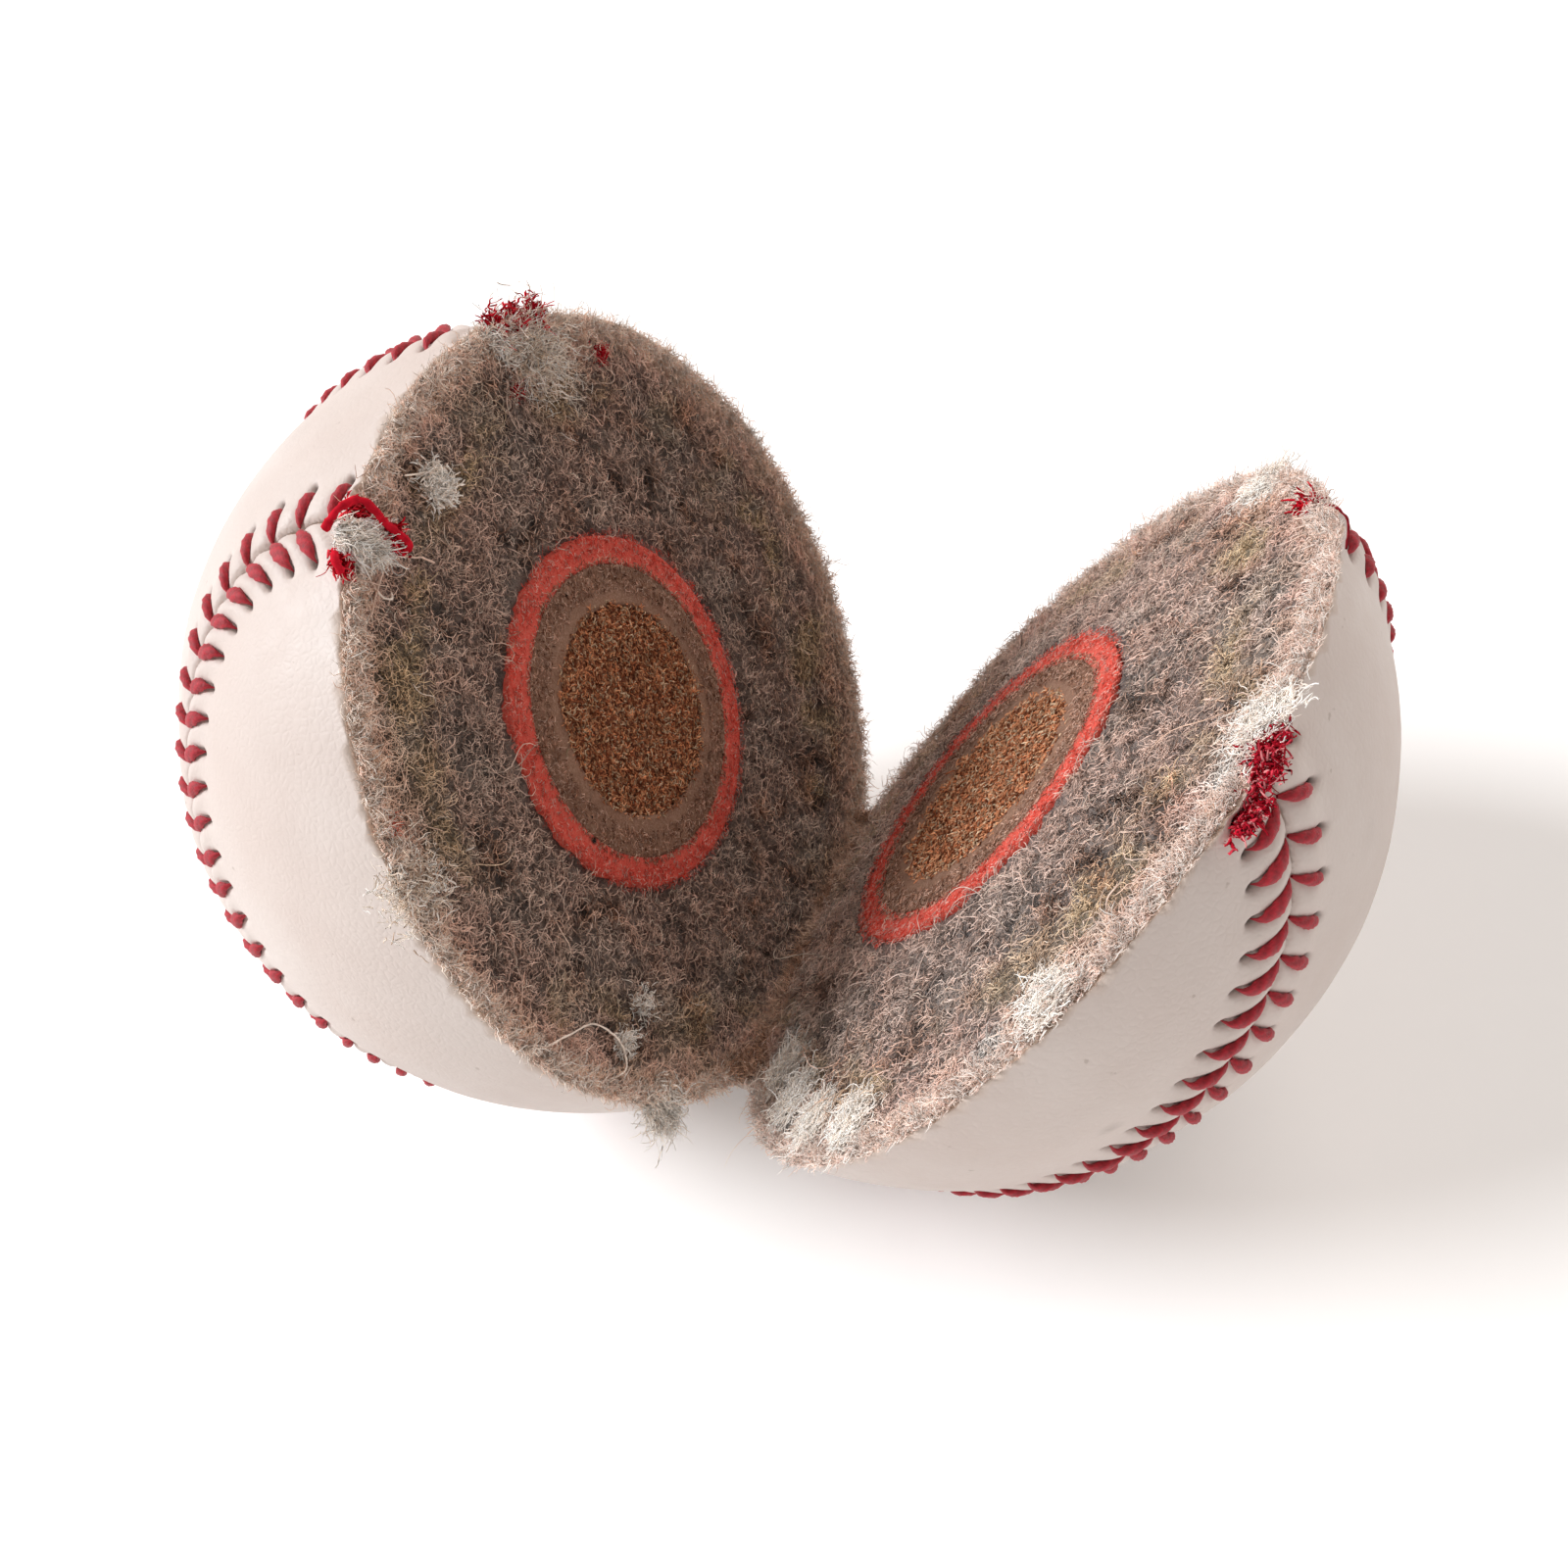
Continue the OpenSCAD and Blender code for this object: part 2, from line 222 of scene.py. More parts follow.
def make_piece(name, points, faces, side, material, values=None, nodes=()):
    """A mesh object from points in the row frame, in millimetres. It rides on one half if side is given."""
    mesh = bpy.data.meshes.new(name)
    points = np.asarray(points, float) * MM
    faces = np.asarray(faces)
    sides = faces.shape[1]
    mesh.vertices.add(len(points))
    mesh.vertices.foreach_set("co", points.astype(np.float32).ravel())
    mesh.loops.add(faces.size)
    mesh.loops.foreach_set("vertex_index", faces.astype(np.int32).ravel())
    mesh.polygons.add(len(faces))
    mesh.polygons.foreach_set("loop_start", np.arange(0, faces.size, sides, dtype=np.int32))
    mesh.polygons.foreach_set("loop_total", np.full(len(faces), sides, np.int32))
    mesh.polygons.foreach_set("use_smooth", np.ones(len(faces), bool))
    mesh.update()
    for key, array in (values or {}).items():
        array = np.asarray(array, np.float32)
        if array.ndim == 2:
            layer = mesh.attributes.new(key, "FLOAT_COLOR", "POINT")
            array = np.column_stack([array, np.ones(len(array), np.float32)])
            layer.data.foreach_set("color", array.ravel())
        else:
            layer = mesh.attributes.new(key, "FLOAT", "POINT")
            layer.data.foreach_set("value", array)
    mesh.validate()
    piece = bpy.data.objects.new(name, mesh)
    bpy.context.scene.collection.objects.link(piece)
    mesh.materials.append(material)
    if side:
        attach(piece, BODY[side])
    if nodes:
        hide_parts(*nodes)
    return piece


# Materials

class Nodes:
    """Short calls for one material's node tree."""

    def __init__(self, name):
        self.material = bpy.data.materials.new(name)
        self.material.use_nodes = True
        self.tree = self.material.node_tree
        self.shader = self.tree.nodes["Principled BSDF"]
        self.place = self.tree.nodes.new("ShaderNodeTexCoord").outputs["Object"]

    def link(self, value, socket):
        if isinstance(value, bpy.types.NodeSocket):
            self.tree.links.new(value, socket)
        elif isinstance(value, tuple) and len(value) == 3 and socket.type == "RGBA":
            socket.default_value = (*value, 1)
        else:
            socket.default_value = value

    def add(self, kind, output, inputs, **settings):
        """A new node whose inputs, by name or number, are set or linked. Gives one of its outputs."""
        node = self.tree.nodes.new("ShaderNode" + kind)
        for key, value in settings.items():
            setattr(node, key, value)
        for key, value in inputs.items():
            self.link(value, node.inputs[key])
        return node.outputs[output]

    def noise(self, scale, detail=4.0, rough=0.6, distort=0.0):
        return self.add("TexNoise", "Fac", {"Vector": self.place, "Scale": scale, "Detail": detail,
                                            "Roughness": rough, "Distortion": distort})

    def cells(self, scale, feature="F1", output="Distance"):
        return self.add("TexVoronoi", output, {"Vector": self.place, "Scale": scale}, feature=feature)

    def attribute(self, name, output="Fac"):
        return self.add("Attribute", output, {}, attribute_name=name)

    def math(self, operation, a, b):
        return self.add("Math", 0, {0: a, 1: b}, operation=operation)

    def spread(self, value, low, high, to_low=0.0, to_high=1.0):
        return self.add("MapRange", 0, dict(enumerate((value, low, high, to_low, to_high))), clamp=True)

    def mix(self, share, a, b, mode="MIX"):
        return self.add("Mix", 2, {0: share, 6: a, 7: b}, data_type="RGBA", blend_type=mode)

    def ramp(self, value, stops):
        node = self.tree.nodes.new("ShaderNodeValToRGB")
        self.link(value, node.inputs[0])
        band = node.color_ramp
        while len(band.elements) < len(stops):
            band.elements.new(0.5)
        for element, (at, colour) in zip(band.elements, stops):
            element.position = at
            element.color = (*colour, 1)
        return node.outputs[0]

    def bump(self, height, strength, distance, under=None):
        inputs = {"Strength": strength, "Distance": distance, "Height": height}
        return self.add("Bump", 0, {**inputs, "Normal": under} if under else inputs)

    def finish(self, colour, roughness, normal=None, **constants):
        self.link(colour, self.shader.inputs["Base Color"])
        self.link(roughness, self.shader.inputs["Roughness"])
        if normal:
            self.link(normal, self.shader.inputs["Normal"])
        for key, value in constants.items():
            self.shader.inputs[key.replace("_", " ")].default_value = value
        return self.material


def srgb(red, green, blue):
    """A colour written in 0 to 255, in the linear values that shaders take."""
    return tuple(((c / 255 + 0.055) / 1.055) ** 2.4 for c in (red, green, blue))


def leather_material():
    n = Nodes("leather")
    soft = n.noise(60, 3, 0.5)
    base = n.mix(n.spread(soft, 0.35, 0.65), srgb(223, 211, 204), srgb(217, 202, 194))
    specks = n.spread(n.noise(900, 2, 0.5), 0.74, 0.78)
    base = n.mix(n.math("MULTIPLY", specks, 0.35), base, srgb(150, 130, 115))
    base = n.mix(n.attribute("edge"), base, srgb(226, 204, 186))
    base = n.mix(n.attribute("stain"), base, srgb(128, 116, 108))
    # The dark attribute is painted shade in the needle holes and along the seam groove.
    base = n.mix(n.attribute("dark"), base, srgb(44, 28, 22))
    grain = n.cells(1500, "DISTANCE_TO_EDGE")
    normal = n.bump(n.spread(grain, 0.0, 0.25), 0.18, 0.0001)
    normal = n.bump(n.noise(2600, 3, 0.6), 0.25, 0.00008, normal)
    normal = n.bump(n.noise(140, 3, 0.5), 0.25, 0.0006, normal)
    rough = n.spread(n.noise(500, 3, 0.6), 0.3, 0.7, 0.46, 0.62)
    return n.finish(base, rough, normal, Specular_IOR_Level=0.35)


def thread_material(name, colour, dark):
    n = Nodes(name)
    fibre = n.noise(2500, 4, 0.7, 1.5)
    # Painted shade: the thread is painted darker in the grooves between its plies and between its fibres, where
    # the bump is low.
    tone = n.math("ADD", n.math("MULTIPLY", fibre, 0.6), n.math("MULTIPLY", n.attribute("ply"), 0.5))
    base = n.mix(n.spread(tone, 0.25, 0.85), dark, colour)
    normal = n.bump(fibre, 0.5, 0.0002)
    return n.finish(base, n.spread(fibre, 0.3, 0.7, 0.5, 0.75), normal, Sheen_Weight=0.15)


def wool_material(name):
    n = Nodes(name)
    tint = n.attribute("tint", "Color")
    fibre = n.noise(2600, 6, 0.8, 2.5)
    # Painted shade: where the fibre bump is low the wool is painted near-black, as the gaps between fibres.
    shade = n.mix(0.72, tint, srgb(34, 24, 19))
    base = n.mix(n.spread(fibre, 0.4, 0.6), shade, tint)
    normal = n.bump(fibre, 1.0, 0.0007)
    return n.finish(base, 0.95, normal, Specular_IOR_Level=0.1, Sheen_Weight=0.2)


def fuzz_material(name, darkest):
    n = Nodes(name)
    tint = n.attribute("tint", "Color")
    shade = n.spread(n.noise(900, 2, 0.5), 0.35, 0.65, darkest, 1.15)
    base = n.mix(1.0, tint, shade, "MULTIPLY")
    return n.finish(base, 0.9, Specular_IOR_Level=0.08)


def cork_material():
    n = Nodes("cork")
    base = n.ramp(n.add("SeparateColor", 0, {0: n.cells(2600, "F1", "Color")}), [
        (0.0, srgb(124, 66, 40)), (0.35, srgb(190, 114, 74)), (0.7, srgb(226, 154, 110)),
        (1.0, srgb(252, 204, 162))])
    fine = n.noise(3600, 5, 0.75)
    # Painted shade: the cork is painted dark where its fine bump is low.
    base = n.mix(n.spread(fine, 0.4, 0.56, 0.7, 0.0), base, srgb(84, 44, 28))
    patch = n.spread(n.noise(420, 3, 0.6), 0.35, 0.7, 0.0, 0.35)
    base = n.mix(patch, base, srgb(120, 66, 42))
    # Painted shade: the gaps between the cork's grains are painted dark.
    gaps = n.spread(n.cells(2600, "DISTANCE_TO_EDGE"), 0.0, 0.1)
    base = n.mix(n.math("SUBTRACT", 0.6, n.math("MULTIPLY", gaps, 0.6)), base, srgb(62, 30, 20))
    normal = n.bump(n.math("ADD", gaps, fine), 0.9, 0.0003)
    return n.finish(base, 0.8, normal, Specular_IOR_Level=0.25)


def rubber_material(name, colour, pale, dark, pores):
    n = Nodes(name)
    fine = n.noise(4200, 5, 0.8)
    base = n.mix(n.spread(fine, 0.38, 0.64), colour, pale)
    patch = n.noise(260, 4, 0.65)
    base = n.mix(n.spread(patch, 0.45, 0.75, 0.0, 0.5), base, dark)
    holes = n.cells(pores)
    # Painted shade: the pores are painted near-black.
    base = n.mix(n.spread(holes, 0.05, 0.1, 1.0, 0.0), base, srgb(28, 20, 16))
    lint = n.spread(n.noise(1700, 4, 0.6, 4.0), 0.62, 0.68, 0.0, 0.5)
    base = n.mix(lint, base, srgb(226, 196, 176))
    normal = n.bump(n.math("ADD", fine, n.spread(holes, 0.05, 0.14)), 0.8, 0.0003)
    return n.finish(base, 0.85, normal, Specular_IOR_Level=0.25)


LEATHER = leather_material()
WOOL = wool_material("wool")
FUZZ = fuzz_material("fuzz", 0.7)
COTTON_FUZZ = fuzz_material("cotton", 0.95)
CORK = cork_material()
GREY_RUBBER = rubber_material("grey_rubber", srgb(150, 112, 90), srgb(186, 148, 126), srgb(108, 76, 58), 420)
RED_RUBBER = rubber_material("red_rubber", srgb(244, 92, 76), srgb(250, 126, 110), srgb(218, 74, 60), 200)
RED_THREAD = thread_material("red_thread", srgb(204, 32, 52), srgb(138, 14, 28))


# Cover seam

def turned(points, axis, angle):
    c, s = np.cos(angle), np.sin(angle)
    x, y, z = points[..., 0], points[..., 1], points[..., 2]
    if axis == "x":
        return np.stack([x, y * c - z * s, y * s + z * c], -1)
    if axis == "y":
        return np.stack([x * c + z * s, y, z * c - x * s], -1)
    return np.stack([x * c - y * s, x * s + y * c, z], -1)


def seam_point(t):
    """Points of the unit ball on the figure-eight seam, at the angles t along it."""
    b, a = SEAM_WAIST, 1 - SEAM_WAIST
    points = np.stack([
        a * np.cos(t) + b * np.cos(3 * t),
        a * np.sin(t) - b * np.sin(3 * t),
        2 * math.sqrt(a * b) * np.sin(2 * t),
    ], -1)
    for axis, angle in zip("xyz", SEAM_TURN):
        points = turned(points, axis, angle)
    return turned(points, "z", SEAM_TWIST * points[..., 0])


SEAM_T = np.linspace(0, 2 * math.pi, SEAM_SAMPLES, endpoint=False)
SEAM = seam_point(SEAM_T)
SEAM_ALONG = unit(np.roll(SEAM, -1, 0) - np.roll(SEAM, 1, 0))
SEAM_ACROSS = np.cross(SEAM, SEAM_ALONG)
STEP = np.linalg.norm(np.roll(SEAM, -1, 0) - SEAM, axis=1)
SEAM_RUN = np.concatenate([[0], np.cumsum(STEP)])


def beside(t, along, across):
    """Points of the unit ball beside the seam, towards the lobe where across is positive."""
    i = np.round(np.asarray(t) / (2 * math.pi) * SEAM_SAMPLES).astype(int) % SEAM_SAMPLES
    along, across = np.asarray(along)[..., None], np.asarray(across)[..., None]
    return unit(SEAM[i] + (SEAM_ALONG[i] * along + SEAM_ACROSS[i] * across) / BALL_R)


def nearest(points, targets):
    """Index of the nearest target to each point, and its distance."""
    tree = kdtree.KDTree(len(targets))
    for i, p in enumerate(targets.tolist()):
        tree.insert(p, i)
    tree.balance()
    found = [tree.find(p)[1:] for p in points.tolist()]
    found = np.array(found)
    return found[:, 0].astype(int), found[:, 1]


def seam_side(points):
    """Distance of unit points from the seam in millimetres, positive on the lobe's side."""
    i, _ = nearest(points, SEAM)
    return ((points - SEAM[i]) * SEAM_ACROSS[i]).sum(1) * BALL_R


# Stitches as lines on the ball

LEG_POINTS = 13


def leg_line(t, side):
    """Unit points along one stitch, from the seam out to its needle hole."""
    u = np.linspace(0, 1, LEG_POINTS)
    across = side * (STITCH_INSET + (STITCH_REACH[side] - STITCH_INSET) * u)
    along = STITCH_BACK[side] * (1 - (1 - u) ** 1.7)
    return beside(np.full(LEG_POINTS, t), along, across)


def cut_line(points):
    """Distance along +X from the sawn surface at each point, positive past it."""
    radius = np.linalg.norm(points[:, 1:], axis=1)
    return points[:, 0] - PILL_OFFSET - np.maximum(radius - FLAT_R, 0) * CUT_SLOPE


def bend_line(points, side):
    """Distance from the plane that bounds the bending strip, positive on the half's side."""
    x, _, z = (place(points, side) - HINGE).T
    if side == "left":
        return -x * math.cos(LEFT_BEND) + z * math.sin(LEFT_BEND)
    return x * math.cos(RIGHT_BEND) + z * math.sin(RIGHT_BEND)


def keeps(points, side):
    """True where a stitch end lies well inside a half."""
    out = OUT[side]
    return (-out * cut_line(points) > STITCH_KEEP) & (bend_line(points, side) > STITCH_KEEP)


STITCH_T = np.interp(np.arange(STITCH_COUNT) / STITCH_COUNT * SEAM_RUN[-1],
                     SEAM_RUN, np.append(SEAM_T, 2 * math.pi))
LEGS = {panel: np.array([leg_line(t, panel) for t in STITCH_T]) for panel in (LOBE, WRAP)}


# Leather

# Steps down a panel's cut edge, and how far from the saw cut the edge stands square to it
EDGE_STEPS = 5
SQUARE_EDGE = 2.2


def refine(bm, near):
    """Splits the edges whose middles near() picks, and puts the new points on the unit ball."""
    edges = list(bm.edges)
    middles = np.array([(e.verts[0].co + e.verts[1].co) / 2 for e in edges])
    chosen = [edges[i] for i in np.flatnonzero(near(unit(middles)))]
    bmesh.ops.subdivide_edges(bm, edges=chosen, cuts=1, use_grid_fill=True)
    bmesh.ops.triangulate(bm, faces=[f for f in bm.faces if len(f.verts) > 3])
    for v in bm.verts:
        v.co.normalize()


def fine_ball():
    """Unit ball of triangles that get smaller towards the seam and its needle holes."""
    bm = bmesh.new()
    bmesh.ops.create_icosphere(bm, subdivisions=6, radius=1)
    holes = np.concatenate([LEGS[LOBE][:, -1], LEGS[WRAP][:, -1]])
    refine(bm, lambda p: nearest(p, SEAM)[1] * BALL_R < 6.0)
    refine(bm, lambda p: nearest(p, SEAM)[1] * BALL_R < 5.2)
    refine(bm, lambda p: (nearest(p, holes)[1] * BALL_R < 0.9) | (nearest(p, SEAM)[1] * BALL_R < 0.5))
    points = np.array([v.co for v in bm.verts])
    tris = np.array([[v.index for v in f.verts] for f in bm.faces])
    bm.free()
    return points, tris


BALL_POINTS, BALL_TRIS = fine_ball()
BALL_SIDE = seam_side(BALL_POINTS)


def leather_height(points):
    """How far the leather stands above the plain ball, and the painted shade of its needle holes and seam
    groove.
    """
    d = np.abs(seam_side(points))
    lines = np.concatenate([LEGS[LOBE], LEGS[WRAP]])
    i, off = nearest(points, lines.reshape(-1, 3))
    off = off * BALL_R
    at = (i % LEG_POINTS) / (LEG_POINTS - 1)
    ends = lines[:, -1]
    j, _ = nearest(points, ends)
    way = unit(lines[j, -1] - lines[j, -3])
    gap = (points - ends[j]) * BALL_R
    ahead = (gap * way).sum(1)
    aside = np.linalg.norm(gap - ahead[:, None] * way, axis=1)
    hole = bump(ahead - 0.1, 0.55) * bump(aside, 0.28)
    ridge = 0.32 * bump(d - 1.3, 1.5)
    groove = -0.45 * bump(d, 0.24)
    valley = -0.36 * bump(off, 0.55) * np.clip(1.2 - 0.5 * at, 0, 1)
    puff = 0.2 * bump(d - 2.0, 1.4) * (1 - bump(off, 0.8))
    height = ridge + groove + valley + puff - 0.75 * hole
    # Painted shade: the needle holes and a thin line along the seam groove are painted dark.
    dark = np.clip(1.6 * bump(ahead - 0.15, 0.45) * bump(aside, 0.2), 0, 1)
    dark = np.maximum(dark, 0.35 * bump(d, 0.1))
    return height, dark


HEIGHT, PAINTED_SHADE = leather_height(BALL_POINTS)


def leather_panel(name, panel, side, node, extra=None):
    """One panel's share of one half, with its cut edge, as a closed shell."""
    out = OUT[side]
    rows = np.column_stack([BALL_POINTS * BALL_R, HEIGHT, PAINTED_SHADE])
    rows, tris = clip(rows, BALL_TRIS, panel * BALL_SIDE - SEAM_GAP / 2)
    rough = 0.42 * np.abs(layered_noise(rows[:, :3], 2.2, 31)) + 0.2 * np.abs(noise(rows[:, :3], 0.6, 35))
    rows, tris = clip(rows, tris, -out * cut_line(rows[:, :3]) - KERF / 2 - rough)
    rows, tris = clip(rows, tris, bend_line(rows[:, :3], side) - 0.05)
    if extra is not None:
        rows, tris = clip(rows, tris, extra(rows))
    points, height, dark = rows[:, :3], rows[:, 3], rows[:, 4]
    way = unit(points)
    outer = points + way * (height + 0.12 * layered_noise(points, 14, 5))[:, None]
    near_cut = np.abs(cut_line(points)) < SQUARE_EDGE
    inner = way * (BALL_R - LEATHER_T)
    level = way * BALL_R
    spread = np.linalg.norm(level[:, 1:], axis=1, keepdims=True)
    room = np.sqrt(np.maximum((BALL_R - LEATHER_T) ** 2 - level[:, :1] ** 2, 0))
    flat = np.column_stack([level[:, :1], level[:, 1:] / spread * room])
    inner = np.where(near_cut[:, None], flat, inner)
    rim = boundary(tris)
    count = len(points)
    levels = np.linspace(0, 1, EDGE_STEPS + 1)[1:-1]
    ring = np.unique(rim)
    place_of = np.full(count, -1)
    place_of[ring] = np.arange(len(ring))
    walls = [outer]
    sawn = bump(np.abs(cut_line(points[ring])) - KERF / 2, 0.8)
    for level_share in levels:
        middle = outer[ring] * (1 - level_share) + inner[ring] * level_share
        push = 0.16 * noise(middle, 0.35, 77) * sawn
        walls.append(middle + np.column_stack([push, np.zeros((len(ring), 2))]))
    walls.append(inner)
    stacked = np.concatenate(walls)
    faces = [tris]
    a, b = rim.T
    number = [np.arange(count)] + [place_of + count + k * len(ring) for k in range(len(levels))]
    number.append(np.arange(count) + count + len(levels) * len(ring))
    for upper, lower in zip(number, number[1:]):
        faces.append(np.stack([upper[b], upper[a], lower[a]], 1))
        faces.append(np.stack([upper[b], lower[a], lower[b]], 1))
    faces.append(number[-1][tris[:, ::-1]])
    edge = np.zeros(len(stacked))
    edge[count:] = 1
    edge[ring] = 0.6 * sawn
    shade = np.concatenate([dark, np.zeros(len(stacked) - count)])
    stain = np.concatenate([stains(points, side), np.zeros(len(stacked) - count)])
    make_piece(name, place(stacked, side), np.concatenate(faces), side, LEATHER,
               {"edge": edge, "dark": shade, "stain": stain}, [node])


# Scuffs: side, distance from the axis, angle round it, size and darkness
SCUFFS = [("left", 30.6, -107, 1.3, 0.55), ("left", 24.0, -88, 0.7, 0.3), ("left", 33.9, -62, 0.35, 0.6),
          ("right", 31.0, -74, 0.4, 0.4), ("right", 30.0, -20, 0.8, 0.2), ("right", 36.0, -40, 0.5, 0.35)]


def stains(points, side):
    """Small grey scuffs on the leather."""
    total = 0.05 * np.clip(layered_noise(points, 9, 61), 0, 1)
    for scuffed, radius, angle, size, depth in SCUFFS:
        if scuffed != side:
            continue
        out = OUT[side]
        turn = math.radians(angle)
        across = math.sqrt(BALL_R ** 2 - radius ** 2)
        spot = np.array([-out * across, radius * math.sin(turn), radius * math.cos(turn)])
        patch = bump(np.linalg.norm(points - spot, axis=1), size) * (0.6 + 0.8 * noise(points, 0.5, 67))
        total = total + depth * np.clip(patch, 0, 1)
    return total


leather_panel("left_lobe_leather", LOBE, "left", "left_cover_lobe")
leather_panel("left_wrap_leather", WRAP, "left", "left_cover_wrap")
leather_panel("right_lobe_leather", LOBE, "right", "right_cover_lobe")
leather_panel("right_front_leather", WRAP, "right", "right_cover_front", lambda r: -r[:, 1])
leather_panel("right_back_leather", WRAP, "right", "right_cover_back", lambda r: r[:, 1])


# Stitches

THREAD_SIDES = 14


def stitch_group(name, panel, side, node):
    """The stitches of one panel on one half: flattened threads of three twisted plies."""
    rng = np.random.default_rng(100 + 10 * panel + len(side))
    u = np.linspace(0, 1, LEG_POINTS)
    around = np.linspace(0, 2 * math.pi, THREAD_SIDES, endpoint=False)
    ring_points, ring_faces, plies = [], [], []
    count = 0
    for line in LEGS[panel]:
        if not keeps(line[[0, -1]] * BALL_R, side).all():
            continue
        full = np.sin(math.pi * np.clip(u ** 1.08 * 0.97 + 0.02, 0, 1)) ** STITCH_TAPER[panel]
        width = (STITCH_WIDTH[panel] + 0.04 * rng.normal()) * full
        depth = 0.4 * full
        lift = 0.16 + 0.24 * np.sin(math.pi * u) - 0.3 * bump(u, 0.08) - 0.6 * bump(1 - u, 0.07)
        along = unit(np.gradient(line, axis=0))
        aside = unit(np.cross(line, along))
        centre = line * (BALL_R + lift)[:, None]
        turn = around[None, :] + u[:, None] * 7.0 + rng.uniform(0, 6)
        ply = np.cos(3 * turn)
        swell = 1 + 0.13 * ply
        ring = centre[:, None] \
            + aside[:, None] * (np.cos(around)[None, :] * width[:, None] * swell)[..., None] \
            + line[:, None] * (np.sin(around)[None, :] * depth[:, None] * swell)[..., None]
        ring_points.append(ring.reshape(-1, 3))
        # ply is 1 on a ply's crest and 0 in the groove between plies, where the thread material paints shade.
        plies.append(0.5 + 0.5 * ply.ravel())
        ring_faces.append(tube_faces(LEG_POINTS, THREAD_SIDES) + count)
        count += LEG_POINTS * THREAD_SIDES
    make_piece(name, place(np.concatenate(ring_points), side), np.concatenate(ring_faces),
               side, RED_THREAD, {"ply": np.concatenate(plies)}, [node])


for half in BODY:
    stitch_group(half + "_lobe_thread", LOBE, half, half + "_lobe_stitches")
    stitch_group(half + "_wrap_thread", WRAP, half, half + "_wrap_stitches")


# Sawn layers

FACE_STEP = 0.35
ROUND_STEPS = 12
OUTLINE_BAND = 3.0


def face_place(radius, out):
    """Height along +X of the sawn surface of one half, at a distance from the ball's axis."""
    return PILL_OFFSET + np.maximum(radius - FLAT_R, 0) * CUT_SLOPE - out * KERF / 2


def face_radius(r, out):
    """Distance from the axis at which a sphere of radius r meets the sawn surface."""
    radius = r
    for _ in range(30):
        radius = math.sqrt(r * r - face_place(radius, out) ** 2)
    return radius


def on_face(radius, angle, out):
    """Points of the sawn surface. The angle runs from the top of the face towards the back."""
    return np.column_stack([face_place(radius, out) * np.ones_like(angle),
                            radius * np.sin(angle), radius * np.cos(angle)])


def cap_holes(points, tris):
    """Closes the flat cut that a clip left."""
    edges = boundary(tris)
    if not len(edges):
        return tris
    ring, local = np.unique(edges, return_inverse=True)
    bm = bmesh.new()
    verts = [bm.verts.new(p) for p in points[ring]]
    lines = [bm.edges.new((verts[a], verts[b])) for a, b in local.reshape(-1, 2)]
    bmesh.ops.triangle_fill(bm, edges=lines, use_beauty=True, use_dissolve=False)
    bm.verts.index_update()
    lids = [[v.index for v in f.verts] for f in bm.faces if len(f.verts) == 3]
    bm.free()
    return np.concatenate([tris, ring[np.array(lids)]]) if lids else tris


def round_rings(r, radius, angle, out):
    """Rings of the sphere of radius r, from its sawn circle to its far end, without the two."""
    start = math.acos(out * face_place(radius, out) / r)
    for share in np.linspace(0, 1, ROUND_STEPS + 1)[1:-1]:
        lean = start + (math.pi - start) * share
        yield np.column_stack([np.full(len(angle), out * r * math.cos(lean)),
                               r * math.sin(lean) * np.sin(angle), r * math.sin(lean) * np.cos(angle)])


def layer(name, side, inner_r, outer_r, node, material, slot, depth, tint=None, outline=None):
    """One sawn layer of one half: a fine sawn face on a plain round body."""
    out = OUT[side]
    r1 = face_radius(outer_r, out)
    r0 = face_radius(inner_r, out) if inner_r else 0.0
    columns = int(round(2 * math.pi * r1 / FACE_STEP))
    rows = max(3, int(round((r1 - r0) / FACE_STEP)) + 1)
    angle = np.linspace(0, 2 * math.pi, columns, endpoint=False)
    grid = []
    for radius in np.linspace(r1, r0, rows)[:None if inner_r else -1]:
        scale = outline(angle) if outline and radius > r1 - OUTLINE_BAND else 1.0
        grid.append(on_face(radius * scale, angle, out))
    face = np.concatenate(grid)
    face[:, 0] -= out * depth(face)
    rings = list(round_rings(outer_r, r1, angle, out))[::-1] + [face]
    if inner_r:
        rings += list(round_rings(inner_r, r0, angle, out))
        tip = [-out * inner_r, 0, 0]
    else:
        centre = np.array([[face_place(0.0, out), 0, 0]])
        centre[:, 0] -= out * depth(centre)
        tip = centre[0]
    points = np.concatenate(rings)
    last = len(points)
    points = np.concatenate([points, [[-out * outer_r, 0, 0]], [tip]])
    quads = tube_faces(last // columns, columns)
    j = np.arange(columns)
    k = (j + 1) % columns
    far, near = np.full(columns, last), np.full(columns, last + 1)
    tris = np.concatenate([quads[:, :3], quads[:, [0, 2, 3]], np.stack([far, k, j], 1),
                           np.stack([near, last - columns + j, last - columns + k], 1)])
    if side == "left":
        tris = tris[:, ::-1]
    points, tris = clip(points, tris, bend_line(points, side))
    tris = cap_holes(points, tris)
    values = {"tint": tint(points)} if tint else None
    make_piece(name, place(points, side), tris, side, material, values, [node])


def clumps(points):
    """Where tufts of wool stand together, above 0, and where pits lie between them, below."""
    return layered_noise(points, 1.15, 601, 2, 0.7)


# Distance from the axis where the pale matted wool starts
MATTED_R = 31.2

# White cotton patches near the right half's rim: distance from the axis, angle, size
COTTON = [(31.4, -137, 2.3), (32.6, -124, 2.4), (33.2, -112, 2.4), (33.6, -99, 2.0), (30.5, -147, 1.8),
          (33.5, -72, 1.6), (34.2, -30, 1.8), (34.0, 38, 1.6)]


def axis_distance(points):
    return np.linalg.norm(points[:, 1:], axis=1)


def on_right(points):
    """True for points at the right half's sawn face, which lies past the middle of the kerf."""
    return points[:, 0] > face_place(axis_distance(points), 0) - 0.25


